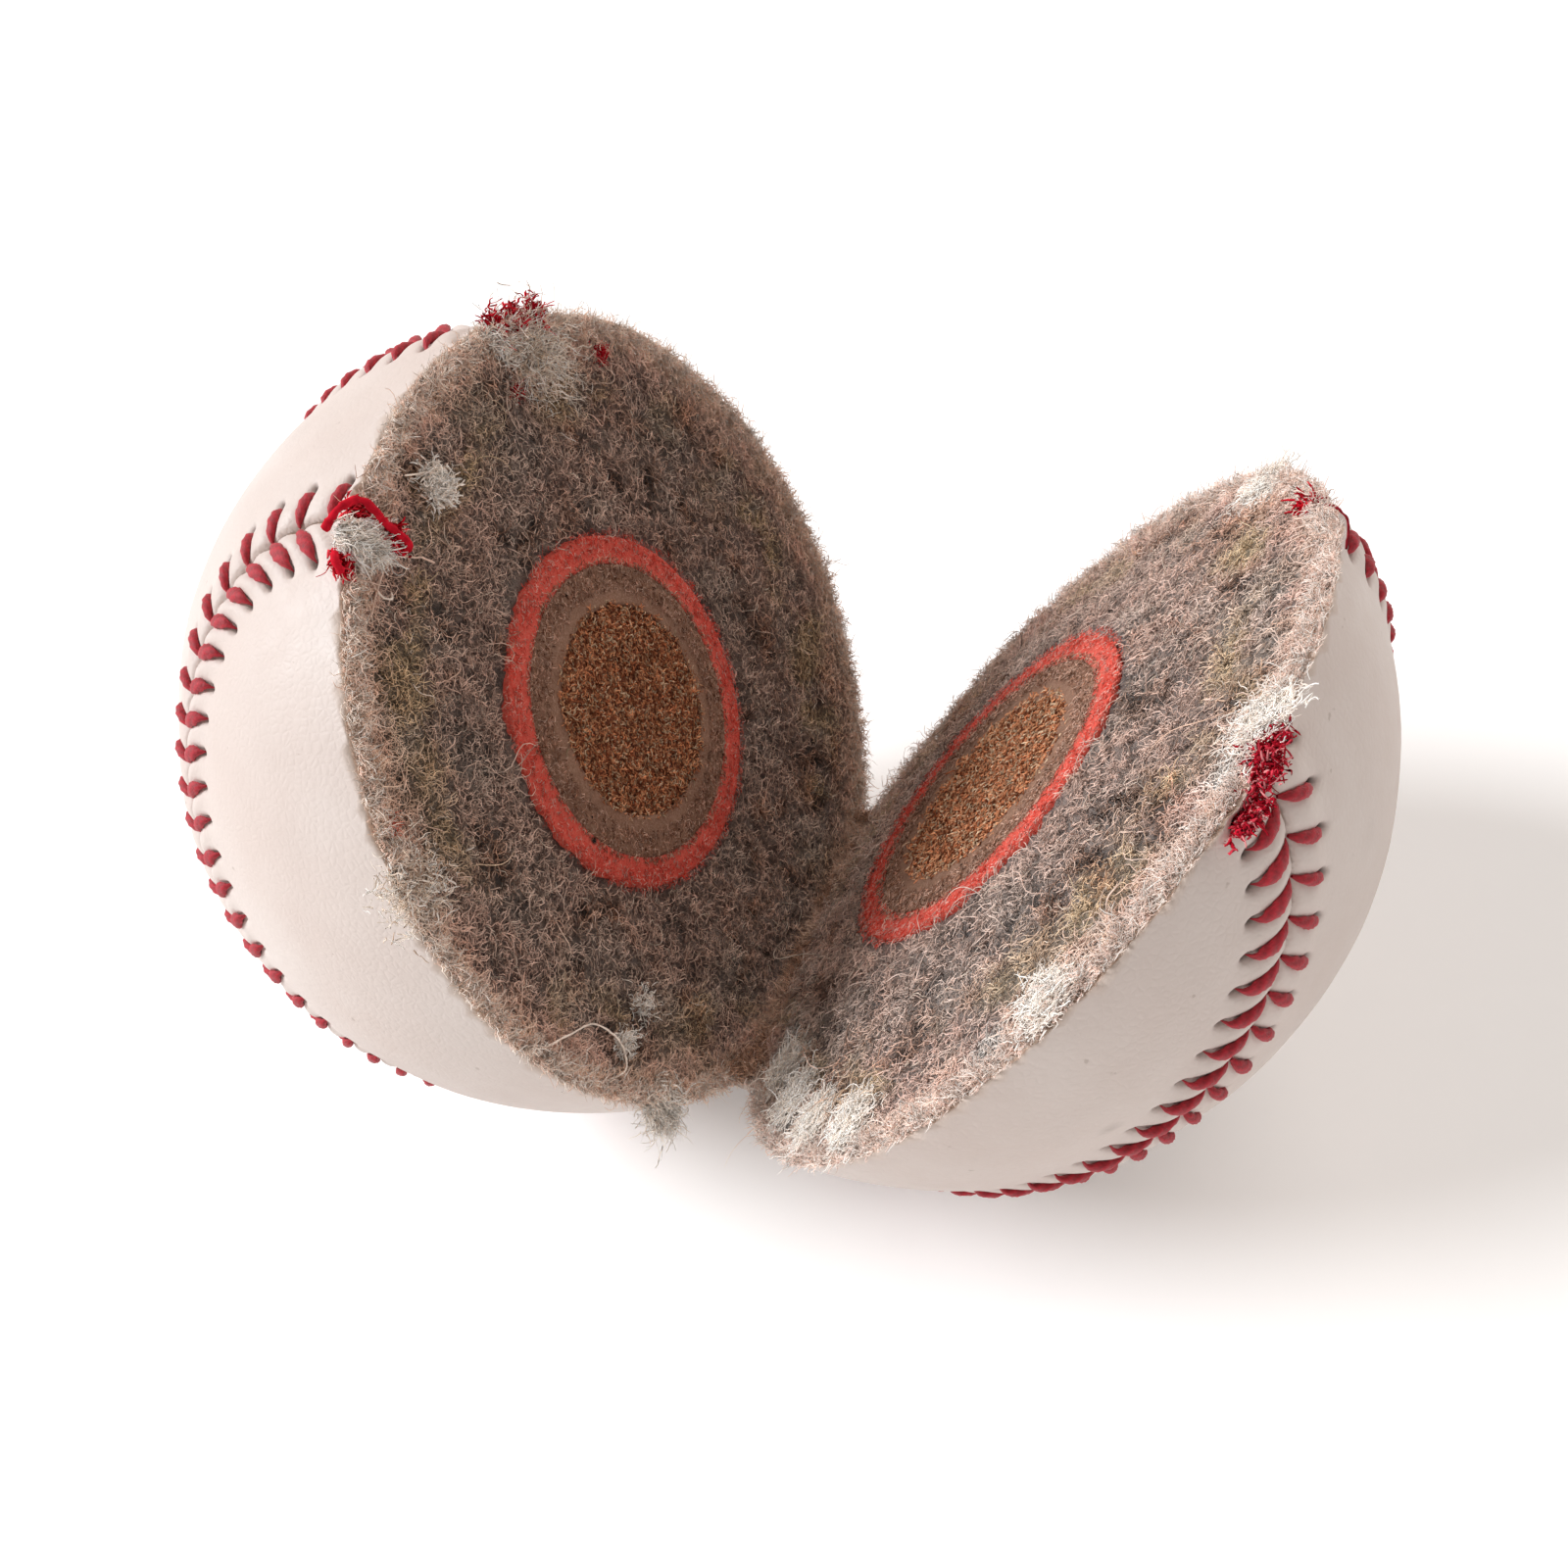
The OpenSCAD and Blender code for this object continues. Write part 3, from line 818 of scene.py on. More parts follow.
def cotton(points):
    """Share of smooth cotton at points of the sawn faces. Only the right half has any."""
    radius = axis_distance(points)
    turn = np.arctan2(points[:, 1], points[:, 2])
    total = np.zeros(len(points))
    for radius_at, angle, size in COTTON:
        away = np.abs(turn - math.radians(angle)) * radius_at
        total = np.maximum(total, np.exp(-(((radius - radius_at) ** 2 + away ** 2) / size ** 2) ** 1.5))
    ragged = 1 + 0.5 * noise(points, 1.2, 321) + 0.4 * noise(points, 3, 322)
    return np.clip(1.5 * total * ragged, 0, 1) * on_right(points)


def matting(points):
    """Share of pale wool that lies matted near the rim."""
    ragged = 1.6 * noise(points, 4.5, 331) + 0.8 * noise(points, 1.6, 332)
    return np.clip((axis_distance(points) - MATTED_R + ragged) / 2.2, 0, 1)


def wool_depth(points):
    """How deep the saw and the torn yarn leave the wool face below the plane of the cut."""
    radius = axis_distance(points)
    lumps = layered_noise(points, 3.2, 201, 2, 0.6)
    rows = 0.5 + 0.5 * np.sin(2 * math.pi * (radius + 0.35 * noise(points, 5, 207)) / 1.05)
    torn = np.clip(0.5 + 0.26 * lumps + 0.16 * rows - 0.32 * clumps(points), 0.02, 1.5)
    torn = torn * (1 - 0.7 * matting(points))
    smooth = 0.2 + 0.1 * lumps
    return torn + (smooth - torn) * cotton(points)


def wool_tint(points):
    """Colour of the sawn wool: taupe, with sand, pink and cream patches towards the rim, and painted light and
    shade: lighter clumps, darker pits, a lighter left face and lighter matted wool, most on the left.
    """
    radius, right, matted = axis_distance(points), on_right(points), matting(points)
    big, middle, small = noise(points, 7, 301), noise(points, 3, 302), noise(points, 1.2, 303)
    tint = np.tile(srgb(222, 196, 182), (len(points), 1))
    pink = np.clip(0.4 + 1.1 * noise(points, 4, 304) + (radius - 29) * 0.1, 0, 1)
    tint = blend_to(tint, srgb(242, 212, 198), 0.8 * pink)
    sand = np.clip(bump(radius - 29.3, 2.6) * (0.35 + 1.9 * middle + 0.8 * big), 0, 1)
    tint = blend_to(tint, srgb(250, 226, 186), 0.9 * sand)
    grey = np.clip(0.35 + 1.4 * noise(points, 5, 305), 0, 1) * (radius < 31)
    tint = blend_to(tint, srgb(190, 176, 166), 0.8 * grey)
    pale = np.clip(1.8 * noise(points, 2.8, 307) - 0.5, 0, 1) * np.clip((radius - 24) / 6, 0, 1)
    tint = blend_to(tint, srgb(255, 238, 224), 0.8 * pale)
    brown = np.clip(1.7 * noise(points, 2.4, 306) - 0.3 + 0.5 * bump(radius - 32.3, 1.0), 0, 1)
    brown = brown * (1 - 0.75 * matted)
    tint = blend_to(tint, srgb(150, 114, 92), 0.8 * brown)
    rim = np.clip((radius - 33.0 + 0.9 * small + 0.7 * middle) / 1.6, 0, 1)
    cream = np.where(right[:, None], srgb(255, 234, 216), srgb(255, 230, 208))
    tint = tint + (cream - tint) * (0.85 * rim)[:, None]
    # Painted light and shade: clumps of wool are painted lighter and the pits between them darker, more so on
    # the left.
    light = np.exp((1.1 - 0.2 * right) * clumps(points) + 0.25 * small)
    light = light * (1 + 0.5 * sand + 0.5 * pale) * (1 - 0.4 * brown)
    # Painted light: the left face is painted lighter than the right, and matted wool is painted lighter, most on
    # the left.
    side = np.where(right[:, None], [[1.42, 1.38, 1.38]], [[1.6, 1.49, 1.43]])
    tint = tint * (light + matted * (1.1 - 0.7 * right))[:, None] * side
    return blend_to(keep_hue(tint), srgb(255, 246, 238), cotton(points))


def shaded_face_tint(points):
    """Colour of the face itself, painted darker as the shade of its fibres, more on the left face than on the
    right and not on matted wool.
    """
    shade = np.maximum(0.55 + 0.3 * on_right(points), 1.1 * matting(points))
    return keep_hue(wool_tint(points) * shade[:, None])


def keep_hue(colour):
    """Colours brought down to 1 where a channel is above it."""
    return colour / np.maximum(colour.max(1), 1)[:, None]


def blend_to(tint, colour, share):
    return tint + (np.array(colour) - tint) * np.asarray(share)[:, None]


def pill_depth(amount, cell, seed):
    return lambda p: np.clip(amount * (1 + layered_noise(p, cell, seed)), 0.01, 0.8)


def cork_outline(seed):
    """The cork shrank away from the rubber on one side."""
    def outline(angle):
        ring = np.column_stack([np.cos(angle), np.sin(angle), 0 * angle]) * CORK_R
        crack = 0.03 * bump(angle - math.radians(62), math.radians(38))
        return 0.985 - crack + 0.009 * noise(ring, 0.7, seed) + 0.008 * noise(ring, 2.6, seed + 5)
    return outline


CORK_DEPTH = {half: pill_depth(0.16, 0.8, 401 + number) for number, half in enumerate(BODY)}
for number, half in enumerate(BODY):
    layer(half + "_cork", half, 0, CORK_R, half + "_cork_core", CORK, "cork", CORK_DEPTH[half],
          outline=cork_outline(411 + number))
    layer(half + "_grey_rubber", half, CORK_R + LAYER_GAP, GREY_RUBBER_R, half + "_grey_rubber_shell",
          GREY_RUBBER, "grey_rubber", pill_depth(0.05, 1.5, 421 + number))
    layer(half + "_red_rubber", half, GREY_RUBBER_R + LAYER_GAP, RED_RUBBER_R, half + "_red_rubber_shell",
          RED_RUBBER, "red_rubber", pill_depth(0.05, 1.5, 431 + number))
    inside = RED_RUBBER_R
    for node, outer_r in (("grey_wool_winding", GREY_WOOL_R), ("white_wool_winding", WHITE_WOOL_R),
                          ("outer_wool_winding", OUTER_WOOL_R), ("finishing_yarn", FINISHING_R)):
        slot_name = node.replace("_winding", "")
        layer(half + "_" + slot_name, half, inside + LAYER_GAP, outer_r, half + "_" + node, WOOL,
              slot_name, wool_depth, tint=shaded_face_tint)
        inside = outer_r


# Fuzz

FIBRE_WIDTH = 0.046
WHITE_SHARE = 0.035


def strands(roots, up, turn, length, width, rng, steps=4, curl=1.6, rise=0.7, drop=1.2):
    """Fine curled fibres of three sides: points, faces, and the strand that each point is on.

    A fibre sets out at the angle turn round its up direction and at about rise radians above the
    surface. It curls sideways by about curl radians and comes down again by its share drop.
    """
    n = len(roots)
    side = np.where(np.abs(up[:, :1]) < 0.8, [[1.0, 0.0, 0.0]], [[0.0, 1.0, 0.0]])
    first = unit(np.cross(up, side))
    second = np.cross(up, first)
    bend = rng.normal(0, curl, n)
    wave, waves = rng.uniform(0, 2 * math.pi, n), rng.uniform(0.5, 1.4, n)
    climb = np.abs(rng.normal(rise, 0.35, n))
    spine = roots.copy()
    rings = []
    for k in range(steps + 1):
        share = k / steps
        heading = turn + bend * share + 0.7 * np.sin(wave + waves * 2 * math.pi * share)
        level = climb * (1 - drop * share)
        ahead = first * np.cos(heading)[:, None] + second * np.sin(heading)[:, None]
        aside = second * np.cos(heading)[:, None] - first * np.sin(heading)[:, None]
        thick = width * (1 - 0.55 * share ** 2)
        for corner in range(3):
            spin = corner * 2 * math.pi / 3
            rings.append(spine + (aside * math.cos(spin) + up * math.sin(spin)) * thick[:, None])
        step = ahead * np.cos(level)[:, None] + up * np.sin(level)[:, None]
        spine = spine + step * (length / steps)[:, None]
    points = np.stack(rings, 1).reshape(-1, 3)
    per = 3 * (steps + 1)
    faces = []
    for k in range(steps):
        for c in range(3):
            d = (c + 1) % 3
            faces.append([3 * k + c, 3 * k + d, 3 * k + 3 + d, 3 * k + 3 + c])
    faces = (np.arange(n)[:, None, None] * per + np.array(faces)[None]).reshape(-1, 4)
    return points, faces, np.repeat(np.arange(n), per)


def fold_flat(piece, side, anchor=None):
    """Gives a soft piece on a sawn face its own copy of its mesh."""
    anchor = anchor or (PILL_OFFSET if side == "left" else RIM_OFFSET)
    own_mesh(piece)


def flush(points):
    return np.zeros(len(points))


def picked(palette, count, rng):
    """Linear colours drawn from a palette that is written in 0 to 255."""
    return np.array([srgb(*c) for c in palette])[rng.integers(0, len(palette), count)]


def fuzz(name, side, count, low, high, length, seed, slot, width=FIBRE_WIDTH, depth=wool_depth,
         palette=None, vary=0.52, root=0.32, **shape):
    """Fibres all over a ring of one half's sawn face. Their roots are painted at the share root of the light, as
    painted shade, lighter on the right half and on matted wool.
    """
    name = side + "_" + name
    out = OUT[side]
    rng = np.random.default_rng(seed)
    count = count
    radius = np.sqrt(rng.uniform(low ** 2, high ** 2, count))
    angle = rng.uniform(0, 2 * math.pi, count)
    roots = on_face(radius, angle, out)
    level = clumps(roots)
    roots[:, 0] -= out * depth(roots)
    kept = bend_line(roots, side) > 0.1
    roots, level, radius = roots[kept], level[kept], radius[kept]
    n = len(roots)
    soft = cotton(roots)
    up = np.tile([float(out), 0, 0], (n, 1))
    long = length * rng.lognormal(0, 0.3, n) * np.clip(1 + 0.35 * level, 0.4, 1.6) * (1 - 0.3 * soft)
    thin = width * rng.uniform(0.6, 1.4, n)
    turn = rng.uniform(0, 2 * math.pi, n)
    points, faces, owner = strands(roots, up, turn, long, thin, rng, **shape)
    if palette is None:
        colour = wool_tint(roots)
        colour[rng.random(n) < WHITE_SHARE] = srgb(255, 236, 218)
    else:
        colour = picked(palette, n, rng)
    # Fibres of matted wool are painted lighter: partly their pale colour, partly painted light.
    colour = colour * (rng.lognormal(0.12, vary, n) + 0.7 * matting(roots))[:, None]
    share = np.tile(np.repeat(np.linspace(0, 1, len(points) // n // 3), 3), n)
    # Painted shade at the roots of the fibres.
    low_light = np.maximum(root if side == "left" else root ** 0.5, matting(roots))[owner]
    tint = keep_hue(colour)[owner] * (low_light + (1 - low_light) * np.clip(1.6 * share, 0, 1))[:, None]
    fold_flat(make_piece(name, place(points, side), faces, side, FUZZ, {"tint": tint}), side)


FUZZ_RINGS = [("inner_fuzz", RED_RUBBER_R + 0.3, 22.4, "grey_wool"), ("second_fuzz", 22.4, 26.8, "grey_wool"),
              ("third_fuzz", 26.8, 30.3, "grey_wool"), ("fourth_fuzz", 30.3, 33.2, "white_wool"),
              ("outer_fuzz", 33.2, 35.4, "outer_wool")]
RIM_COLOURS = {"left": [(255, 236, 220), (255, 244, 234), (246, 214, 196)],
               "right": [(255, 236, 224), (255, 226, 212), (255, 246, 238)]}
GREY_LINT = [(176, 134, 112), (232, 196, 176), (120, 84, 64), (202, 162, 142)]
RED_LINT = [(250, 112, 96), (255, 156, 140), (226, 80, 64), (252, 200, 186)]
CORK_CRUMBS = [(252, 188, 142), (255, 224, 188), (222, 144, 102), (134, 78, 50), (244, 170, 124)]
LINT = {"width": 0.035, "depth": flush, "steps": 3, "rise": 0.25, "drop": 1.6, "curl": 1.8}
for number, half in enumerate(BODY):
    for ring_number, (ring_name, low, high, slot_name) in enumerate(FUZZ_RINGS):
        fuzz(ring_name, half, 7400, low, high, 1.1, 501 + 10 * ring_number + number, slot_name, curl=2.6)
    rim = {"depth": flush, "palette": RIM_COLOURS[half], "vary": 0.2, "root": 0.8, "curl": 2.2}
    fuzz("rim_fuzz", half, 7400, 34.6, 36.2, 1.15, 561 + number, "finishing_yarn", rise=1.15, drop=0.9, **rim)
    fuzz("rim_felt", half, 8600, 34.2, 36.2, 0.85, 565 + number, "leather", steps=3, rise=0.3, drop=1.2, **rim)
    fuzz("long_hairs", half, 420, RED_RUBBER_R, 35.0, 3.6, 571 + number, "white_wool",
         steps=9, curl=2.8, rise=0.5, drop=1.3)
    fuzz("grey_lint", half, 4600, CORK_R + 0.4, GREY_RUBBER_R - 0.2, 0.5, 581 + number, "grey_rubber",
         palette=GREY_LINT, vary=0.3, root=0.8, **LINT)
    fuzz("red_lint", half, 3800, GREY_RUBBER_R + 0.2, RED_RUBBER_R - 0.1, 0.45, 585 + number, "red_rubber",
         palette=RED_LINT, vary=0.22, root=0.85, **LINT)
    fuzz("cork_crumbs", half, 5800, 0.0, CORK_R - 0.6, 0.55, 589 + number, "cork", 0.068, CORK_DEPTH[half],
         CORK_CRUMBS, 0.3, 0.5, steps=3, rise=0.45, drop=1.2, curl=2.6)


# Frayed thread and loose fibre

def face_spot(side, radius, angle, height=0.0):
    """A point over the sawn face of one half."""
    out = OUT[side]
    spot = on_face(radius, np.array([math.radians(angle)]), out)[0]
    spot[0] += out * height
    return spot


def tuft(name, radius, angle, spread, count, length, colours, seed, way,
         loose=0.6, width=0.05, height=0.0, curl=1.2, rise=1.1, drop=0.5):
    """Fibres that start close together and lean way: inwards, round the face, and out of it."""
    side = name.split("_")[0]
    rng = np.random.default_rng(seed)
    turn = math.radians(angle)
    inward = np.array([0, -math.sin(turn), -math.cos(turn)])
    around = np.array([0, math.cos(turn), -math.sin(turn)])
    outward = np.array([float(OUT[side]), 0, 0])
    roots = face_spot(side, radius, angle, height) \
        + inward * rng.normal(0, spread, count)[:, None] + around * rng.normal(0, spread, count)[:, None] \
        + outward * np.abs(rng.normal(0, 0.25 * spread, count))[:, None]
    lean = inward * way[0] + around * way[1] + outward * way[2]
    up = unit(lean + rng.normal(0, loose, (count, 3)))
    long = length * rng.lognormal(0, 0.3, count)
    thin = width * rng.uniform(0.6, 1.4, count)
    points, faces, owner = strands(roots, up, rng.uniform(0, 6.3, count), long, thin, rng,
                                   steps=5, curl=curl, rise=rise, drop=drop)
    colour = picked(colours, count, rng) * rng.lognormal(0.05, 0.15, count)[:, None]
    material, slot = (FUZZ, "stitch_thread") if "_red_" in name else (COTTON_FUZZ, "finishing_yarn")
    piece = make_piece(name, place(points, side), faces, side, material,
                       {"tint": keep_hue(colour)[owner]})
    if height >= 0:
        fold_flat(piece, side, RIM_OFFSET)


REDS = [(220, 30, 50), (190, 18, 38), (236, 66, 78), (166, 14, 30)]
DUSTY_REDS = [(186, 24, 46), (166, 16, 36), (208, 60, 76), (150, 12, 30), (226, 140, 142)]
WHITES = [(255, 248, 240), (254, 242, 230), (255, 252, 247)]
GREYS = [(242, 224, 206), (204, 180, 160), (250, 236, 220)]
BAR = {"width": 0.12, "curl": 0.9, "loose": 0.5}
KNOT = {"width": 0.12, "curl": 2.4, "loose": 0.6}
MAT = {"width": 0.055, "curl": 1.6, "loose": 0.15, "rise": 0.1, "drop": 1.0}
SHOCK = {"width": 0.085, "height": 0.5, "loose": 0.25}
WISP = {"width": 0.07, "curl": 2.0, "loose": 0.9}
OUTWARDS, STRAIGHT, UPRIGHT = (0.0, 0.0, 0.6), (0.0, 0.0, 0.8), (0.0, 0.0, 1.0)

# Name, distance from the axis, angle, spread, count, length, colours, seed, lean and shape of each tuft.
# A tuft with _red_ in its name is stitch thread, and the others are yarn and cotton.
TUFTS = [
    ("left_front_red_fray", 36.4, -27.4, 0.5, 130, 0.8, REDS, 701, (0.9, 0.3, 0.6), BAR),
    ("left_front_red_fray_low", 36.8, -34.5, 0.35, 130, 0.8, REDS, 702, (0.3, -0.5, 0.5), BAR),
    ("left_front_red_fray_end", 33.4, -28.9, 0.5, 130, 0.7, REDS, 716, (0.3, 0.3, 0.7),
     {**BAR, "height": 1.4}),
    ("left_front_white_fray_0", 36.8, -31.4, 0.6, 420, 1.5, WHITES, 703, (1.2, -0.05, 0.3), SHOCK),
    ("left_front_white_fray_1", 35.6, -30.6, 0.6, 420, 1.5, WHITES, 743, (1.2, -0.05, 0.3), SHOCK),
    ("left_front_white_fray_2", 34.6, -30.2, 0.6, 420, 1.5, WHITES, 783, (1.2, -0.05, 0.3), SHOCK),
    ("left_top_red_fray_0", 36.0, 13.0, 0.6, 200, 0.8, REDS, 704, (0.2, 0.4, 0.1), BAR),
    ("left_top_red_fray_1", 36.2, 17.0, 0.6, 200, 0.8, REDS, 744, (0.2, 0.4, 0.1), BAR),
    ("left_top_red_fray_2", 36.2, 21.5, 0.6, 200, 0.8, REDS, 784, (0.2, 0.4, 0.1), BAR),
    ("left_top_white_fray", 35.0, 13.0, 0.9, 500, 0.9, WHITES, 706, (0.4, 0.0, 0.5), {"width": 0.085}),
    ("left_top_flap", 33.0, 20.0, 2.0, 1100, 1.6, WHITES + GREYS, 717, (0.2, -0.2, 0.6), {}),
    ("left_white_curl", 30.1, -14.8, 0.75, 620, 0.8, WHITES, 707, OUTWARDS,
     {**WISP, "width": 0.09, "height": 0.5}),
    ("left_low_white_fluff", 36.3, -130.0, 1.0, 900, 1.5, WHITES, 708, (-1.0, 0.3, -0.4), {"width": 0.075}),
    ("left_low_white_curl", 31.2, -122.0, 0.7, 200, 0.7, WHITES, 714, OUTWARDS, WISP),
    ("left_low_white_lint", 27.5, -128.0, 0.8, 160, 0.7, WHITES, 715, OUTWARDS, WISP),
    ("left_rim_fluff", 35.0, -74.0, 1.6, 700, 1.0, GREYS + WHITES, 709, (0.1, 0.0, 0.6),
     {"loose": 0.8, "width": 0.06}),
    ("left_red_speck", 30.6, 13.4, 0.4, 90, 0.6, REDS, 711, STRAIGHT, {}),
    ("left_red_speck_back", 33.1, 36.2, 0.45, 120, 0.6, REDS, 712, STRAIGHT, {}),
    ("left_rim_red_fibre", 34.4, -66.0, 0.4, 40, 0.8, [(226, 120, 100)], 713, STRAIGHT, {}),
    ("right_front_red_fray", 36.1, -26.6, 0.8, 380, 0.75, DUSTY_REDS, 721, (-0.8, -0.3, 0.1), KNOT),
    ("right_front_red_fray_mid", 36.3, -29.5, 0.8, 420, 0.75, DUSTY_REDS, 722, (-1.0, -0.3, -0.2),
     {**KNOT, "height": -0.5}),
    ("right_front_red_fray_low", 36.4, -34.0, 0.7, 380, 0.7, DUSTY_REDS, 730, (-1.0, -0.4, -0.4),
     {**KNOT, "height": -1.2}),
    ("right_front_white_fray", 34.6, -23.0, 1.3, 1200, 1.2, WHITES, 723, OUTWARDS, MAT),
    ("right_top_red_fray", 34.6, 21.0, 0.5, 90, 1.1, REDS, 724, (-0.3, -0.3, 0.4), BAR),
    ("right_low_cotton_0", 32.8, -100.0, 1.0, 1150, 1.4, WHITES, 725, UPRIGHT, MAT),
    ("right_low_cotton_1", 32.2, -112.0, 1.0, 1150, 1.4, WHITES, 755, UPRIGHT, MAT),
    ("right_low_cotton_2", 31.4, -124.0, 1.0, 1150, 1.4, WHITES, 785, UPRIGHT, MAT),
    ("right_low_cotton_3", 30.5, -136.0, 1.0, 1150, 1.4, WHITES, 815, UPRIGHT, MAT),
    ("right_rim_fluff", 34.0, -62.0, 1.1, 900, 1.3, WHITES, 727, UPRIGHT, MAT),
    ("right_rim_fluff_far", 34.0, 40.0, 1.1, 900, 1.3, WHITES, 728, UPRIGHT, MAT),
]
for *row, shape in TUFTS:
    tuft(*row, **shape)


def loose_thread(name, width, colour, route):
    """A thin thread through places over the sawn face: distance from the axis, angle, height."""
    side = name.split("_")[0]
    knots = np.array([face_spot(side, *stop) for stop in route])
    ends = np.concatenate([[2 * knots[0] - knots[1]], knots, [2 * knots[-1] - knots[-2]]])
    spine = []
    for a, b, c, d in zip(ends[:-3], ends[1:-2], ends[2:-1], ends[3:]):
        u = np.linspace(0, 1, 8, endpoint=False)[:, None]
        spine.append(0.5 * (2 * b + (c - a) * u + (2 * a - 5 * b + 4 * c - d) * u ** 2
                            + (3 * b - a - 3 * c + d) * u ** 3))
    spine = np.concatenate(spine + [knots[-1:]])
    spine += 0.05 * np.column_stack([noise(spine, 0.5, 741 + k) for k in range(3)])
    ahead = unit(np.gradient(spine, axis=0))
    aside = unit(np.cross(ahead, [0.3, 0.5, 0.8]))
    above = np.cross(ahead, aside)
    around = np.linspace(0, 2 * math.pi, LOOSE_SIDES, endpoint=False)
    ragged = width * (1 + 0.3 * noise(spine, 0.25, 745))[:, None, None]
    rings = spine[:, None] + ragged * (aside[:, None] * np.cos(around)[None, :, None]
                                      + above[:, None] * np.sin(around)[None, :, None])
    points = rings.reshape(-1, 3)
    piece = make_piece(name, place(points, side), tube_faces(len(spine), LOOSE_SIDES), side, FUZZ,
                       {"tint": np.tile(srgb(*colour), (len(points), 1))})
    fold_flat(piece, side, RIM_OFFSET)


LOOSE_SIDES = 6
RED, PALE = (208, 26, 46), (255, 240, 226)
loose_thread("left_low_loop", 0.09, PALE, [
    (34.8, -104, 0.2), (32.4, -108, 0.8), (30.6, -113, 0.9), (31.2, -119, 0.8), (33.4, -121, 0.6),
    (34.9, -117, 0.4)])
loose_thread("left_front_thread_0", 0.32, RED, [
    (38.2, -31.2, -0.6), (38.4, -29.5, 0.8), (37.4, -27.6, 1.5), (36.1, -27.6, 1.9), (34.6, -28.4, 2.1),
    (33.3, -28.7, 2.3), (32.0, -29.0, 2.1), (31.8, -29.6, 1.2)])
loose_thread("left_front_thread_1", 0.32, RED, [
    (37.6, -33.6, 0.2), (38.0, -35.3, 0.9), (37.3, -36.1, 0.9)])
loose_thread("left_rim_curl", 0.09, PALE, [
    (33.4, -35.6, 0.4), (32.9, -36.8, 1.0), (32.2, -36.6, 1.2), (31.9, -35.4, 0.8)])
loose_thread("left_white_thread", 0.07, PALE, [
    (33.0, -18, 0.3), (31.4, -15, 0.9), (29.6, -13, 0.7), (28.0, -15, 0.2)])
loose_thread("left_pale_thread", 0.08, (236, 206, 188), [
    (33.6, -40, 0.3), (32.8, -32, 0.9), (29.8, -28, 0.8), (27.5, -26, 0.3)])
loose_thread("right_top_thread", 0.1, (120, 20, 30), [
    (35.2, 19, 0.2), (36.4, 14, 0.5), (37.0, 9, 0.3), (36.6, 4, 0.0)])


# Uncut strip

STRIP_ROWS, STRIP_COLUMNS, STRIP_BLEND = 90, 28, 1.4


def strip_reach(angle, y, r):
    """Distance from the hinge line to the ball of radius r, downwards at an angle towards +X."""
    reach = []
    for side in BODY:
        gap = np.stack([np.full_like(y, HINGE[0]), y, np.full_like(y, HINGE[2])], -1) - HALF[side][0]
        way = np.stack([np.sin(angle), np.zeros_like(angle), -np.cos(angle)], -1)
        along = (gap * way).sum(-1)
        room = along ** 2 + r * r - (gap ** 2).sum(-1)
        reach.append(np.where(room > 0, -along + np.sqrt(np.maximum(room, 0)), 0))
    sharp = 2.5
    soft = np.log(np.exp(sharp * reach[0]) + np.exp(sharp * reach[1])) / sharp - math.log(2) / sharp
    return np.maximum(soft, 0.12)


def strip_points(share, y, r):
    angle = -LEFT_BEND + (LEFT_BEND + RIGHT_BEND) * share
    reach = strip_reach(angle, y, r)
    return np.stack([HINGE[0] + reach * np.sin(angle), y, HINGE[2] - reach * np.cos(angle)], -1)


def bend_with_hinge(piece):
    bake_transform(piece)


def strip_piece(name, outer_r, inner_r, material, node, values):
    """A closed sheet between two radii that runs from one half to the other under the hinge line."""
    half_length = math.sqrt(outer_r ** 2 - HINGE_REACH ** 2)
    rows = half_length * np.sin(np.linspace(-1, 1, STRIP_ROWS) * math.pi / 2)
    share, y = np.meshgrid(np.linspace(-0.02, 1.02, STRIP_COLUMNS), rows)
    outer = strip_points(share.ravel(), y.ravel(), outer_r)
    inner = strip_points(share.ravel(), y.ravel(), inner_r) if inner_r else \
        np.column_stack([np.full(outer.shape[0], HINGE[0]), y.ravel(), np.full(outer.shape[0], HINGE[2] + 0.1)])
    points = np.concatenate([outer, inner])
    bend_with_hinge(make_piece(name, points, sheet_faces(STRIP_ROWS, STRIP_COLUMNS), None, material,
                               values(points), [node]))


def strip_leather_values(points):
    edge = np.repeat([0.0, 1.0], len(points) // 2)
    return {"edge": edge, "dark": 0 * edge, "stain": 0.08 * np.clip(layered_noise(points, 4, 63), 0, 1)}


def strip_yarn_values(points):
    tint = np.array(srgb(206, 188, 170)) * np.exp(0.4 * layered_noise(points, 1.1, 611))[:, None]
    return {"tint": keep_hue(tint)}


strip_piece("strip_leather", BALL_R, BALL_R - LEATHER_T, LEATHER, "leather_hinge",
            strip_leather_values)
strip_piece("strip_yarn", FINISHING_R, 0, WOOL, "yarn_bridge", strip_yarn_values)


WEB_TOP = {-1: 146.5, 1: 150.8}
WEB_STEPS, WEB_SAG, WEB_INSETS = 12, 0.7, (0.1, 1.1)


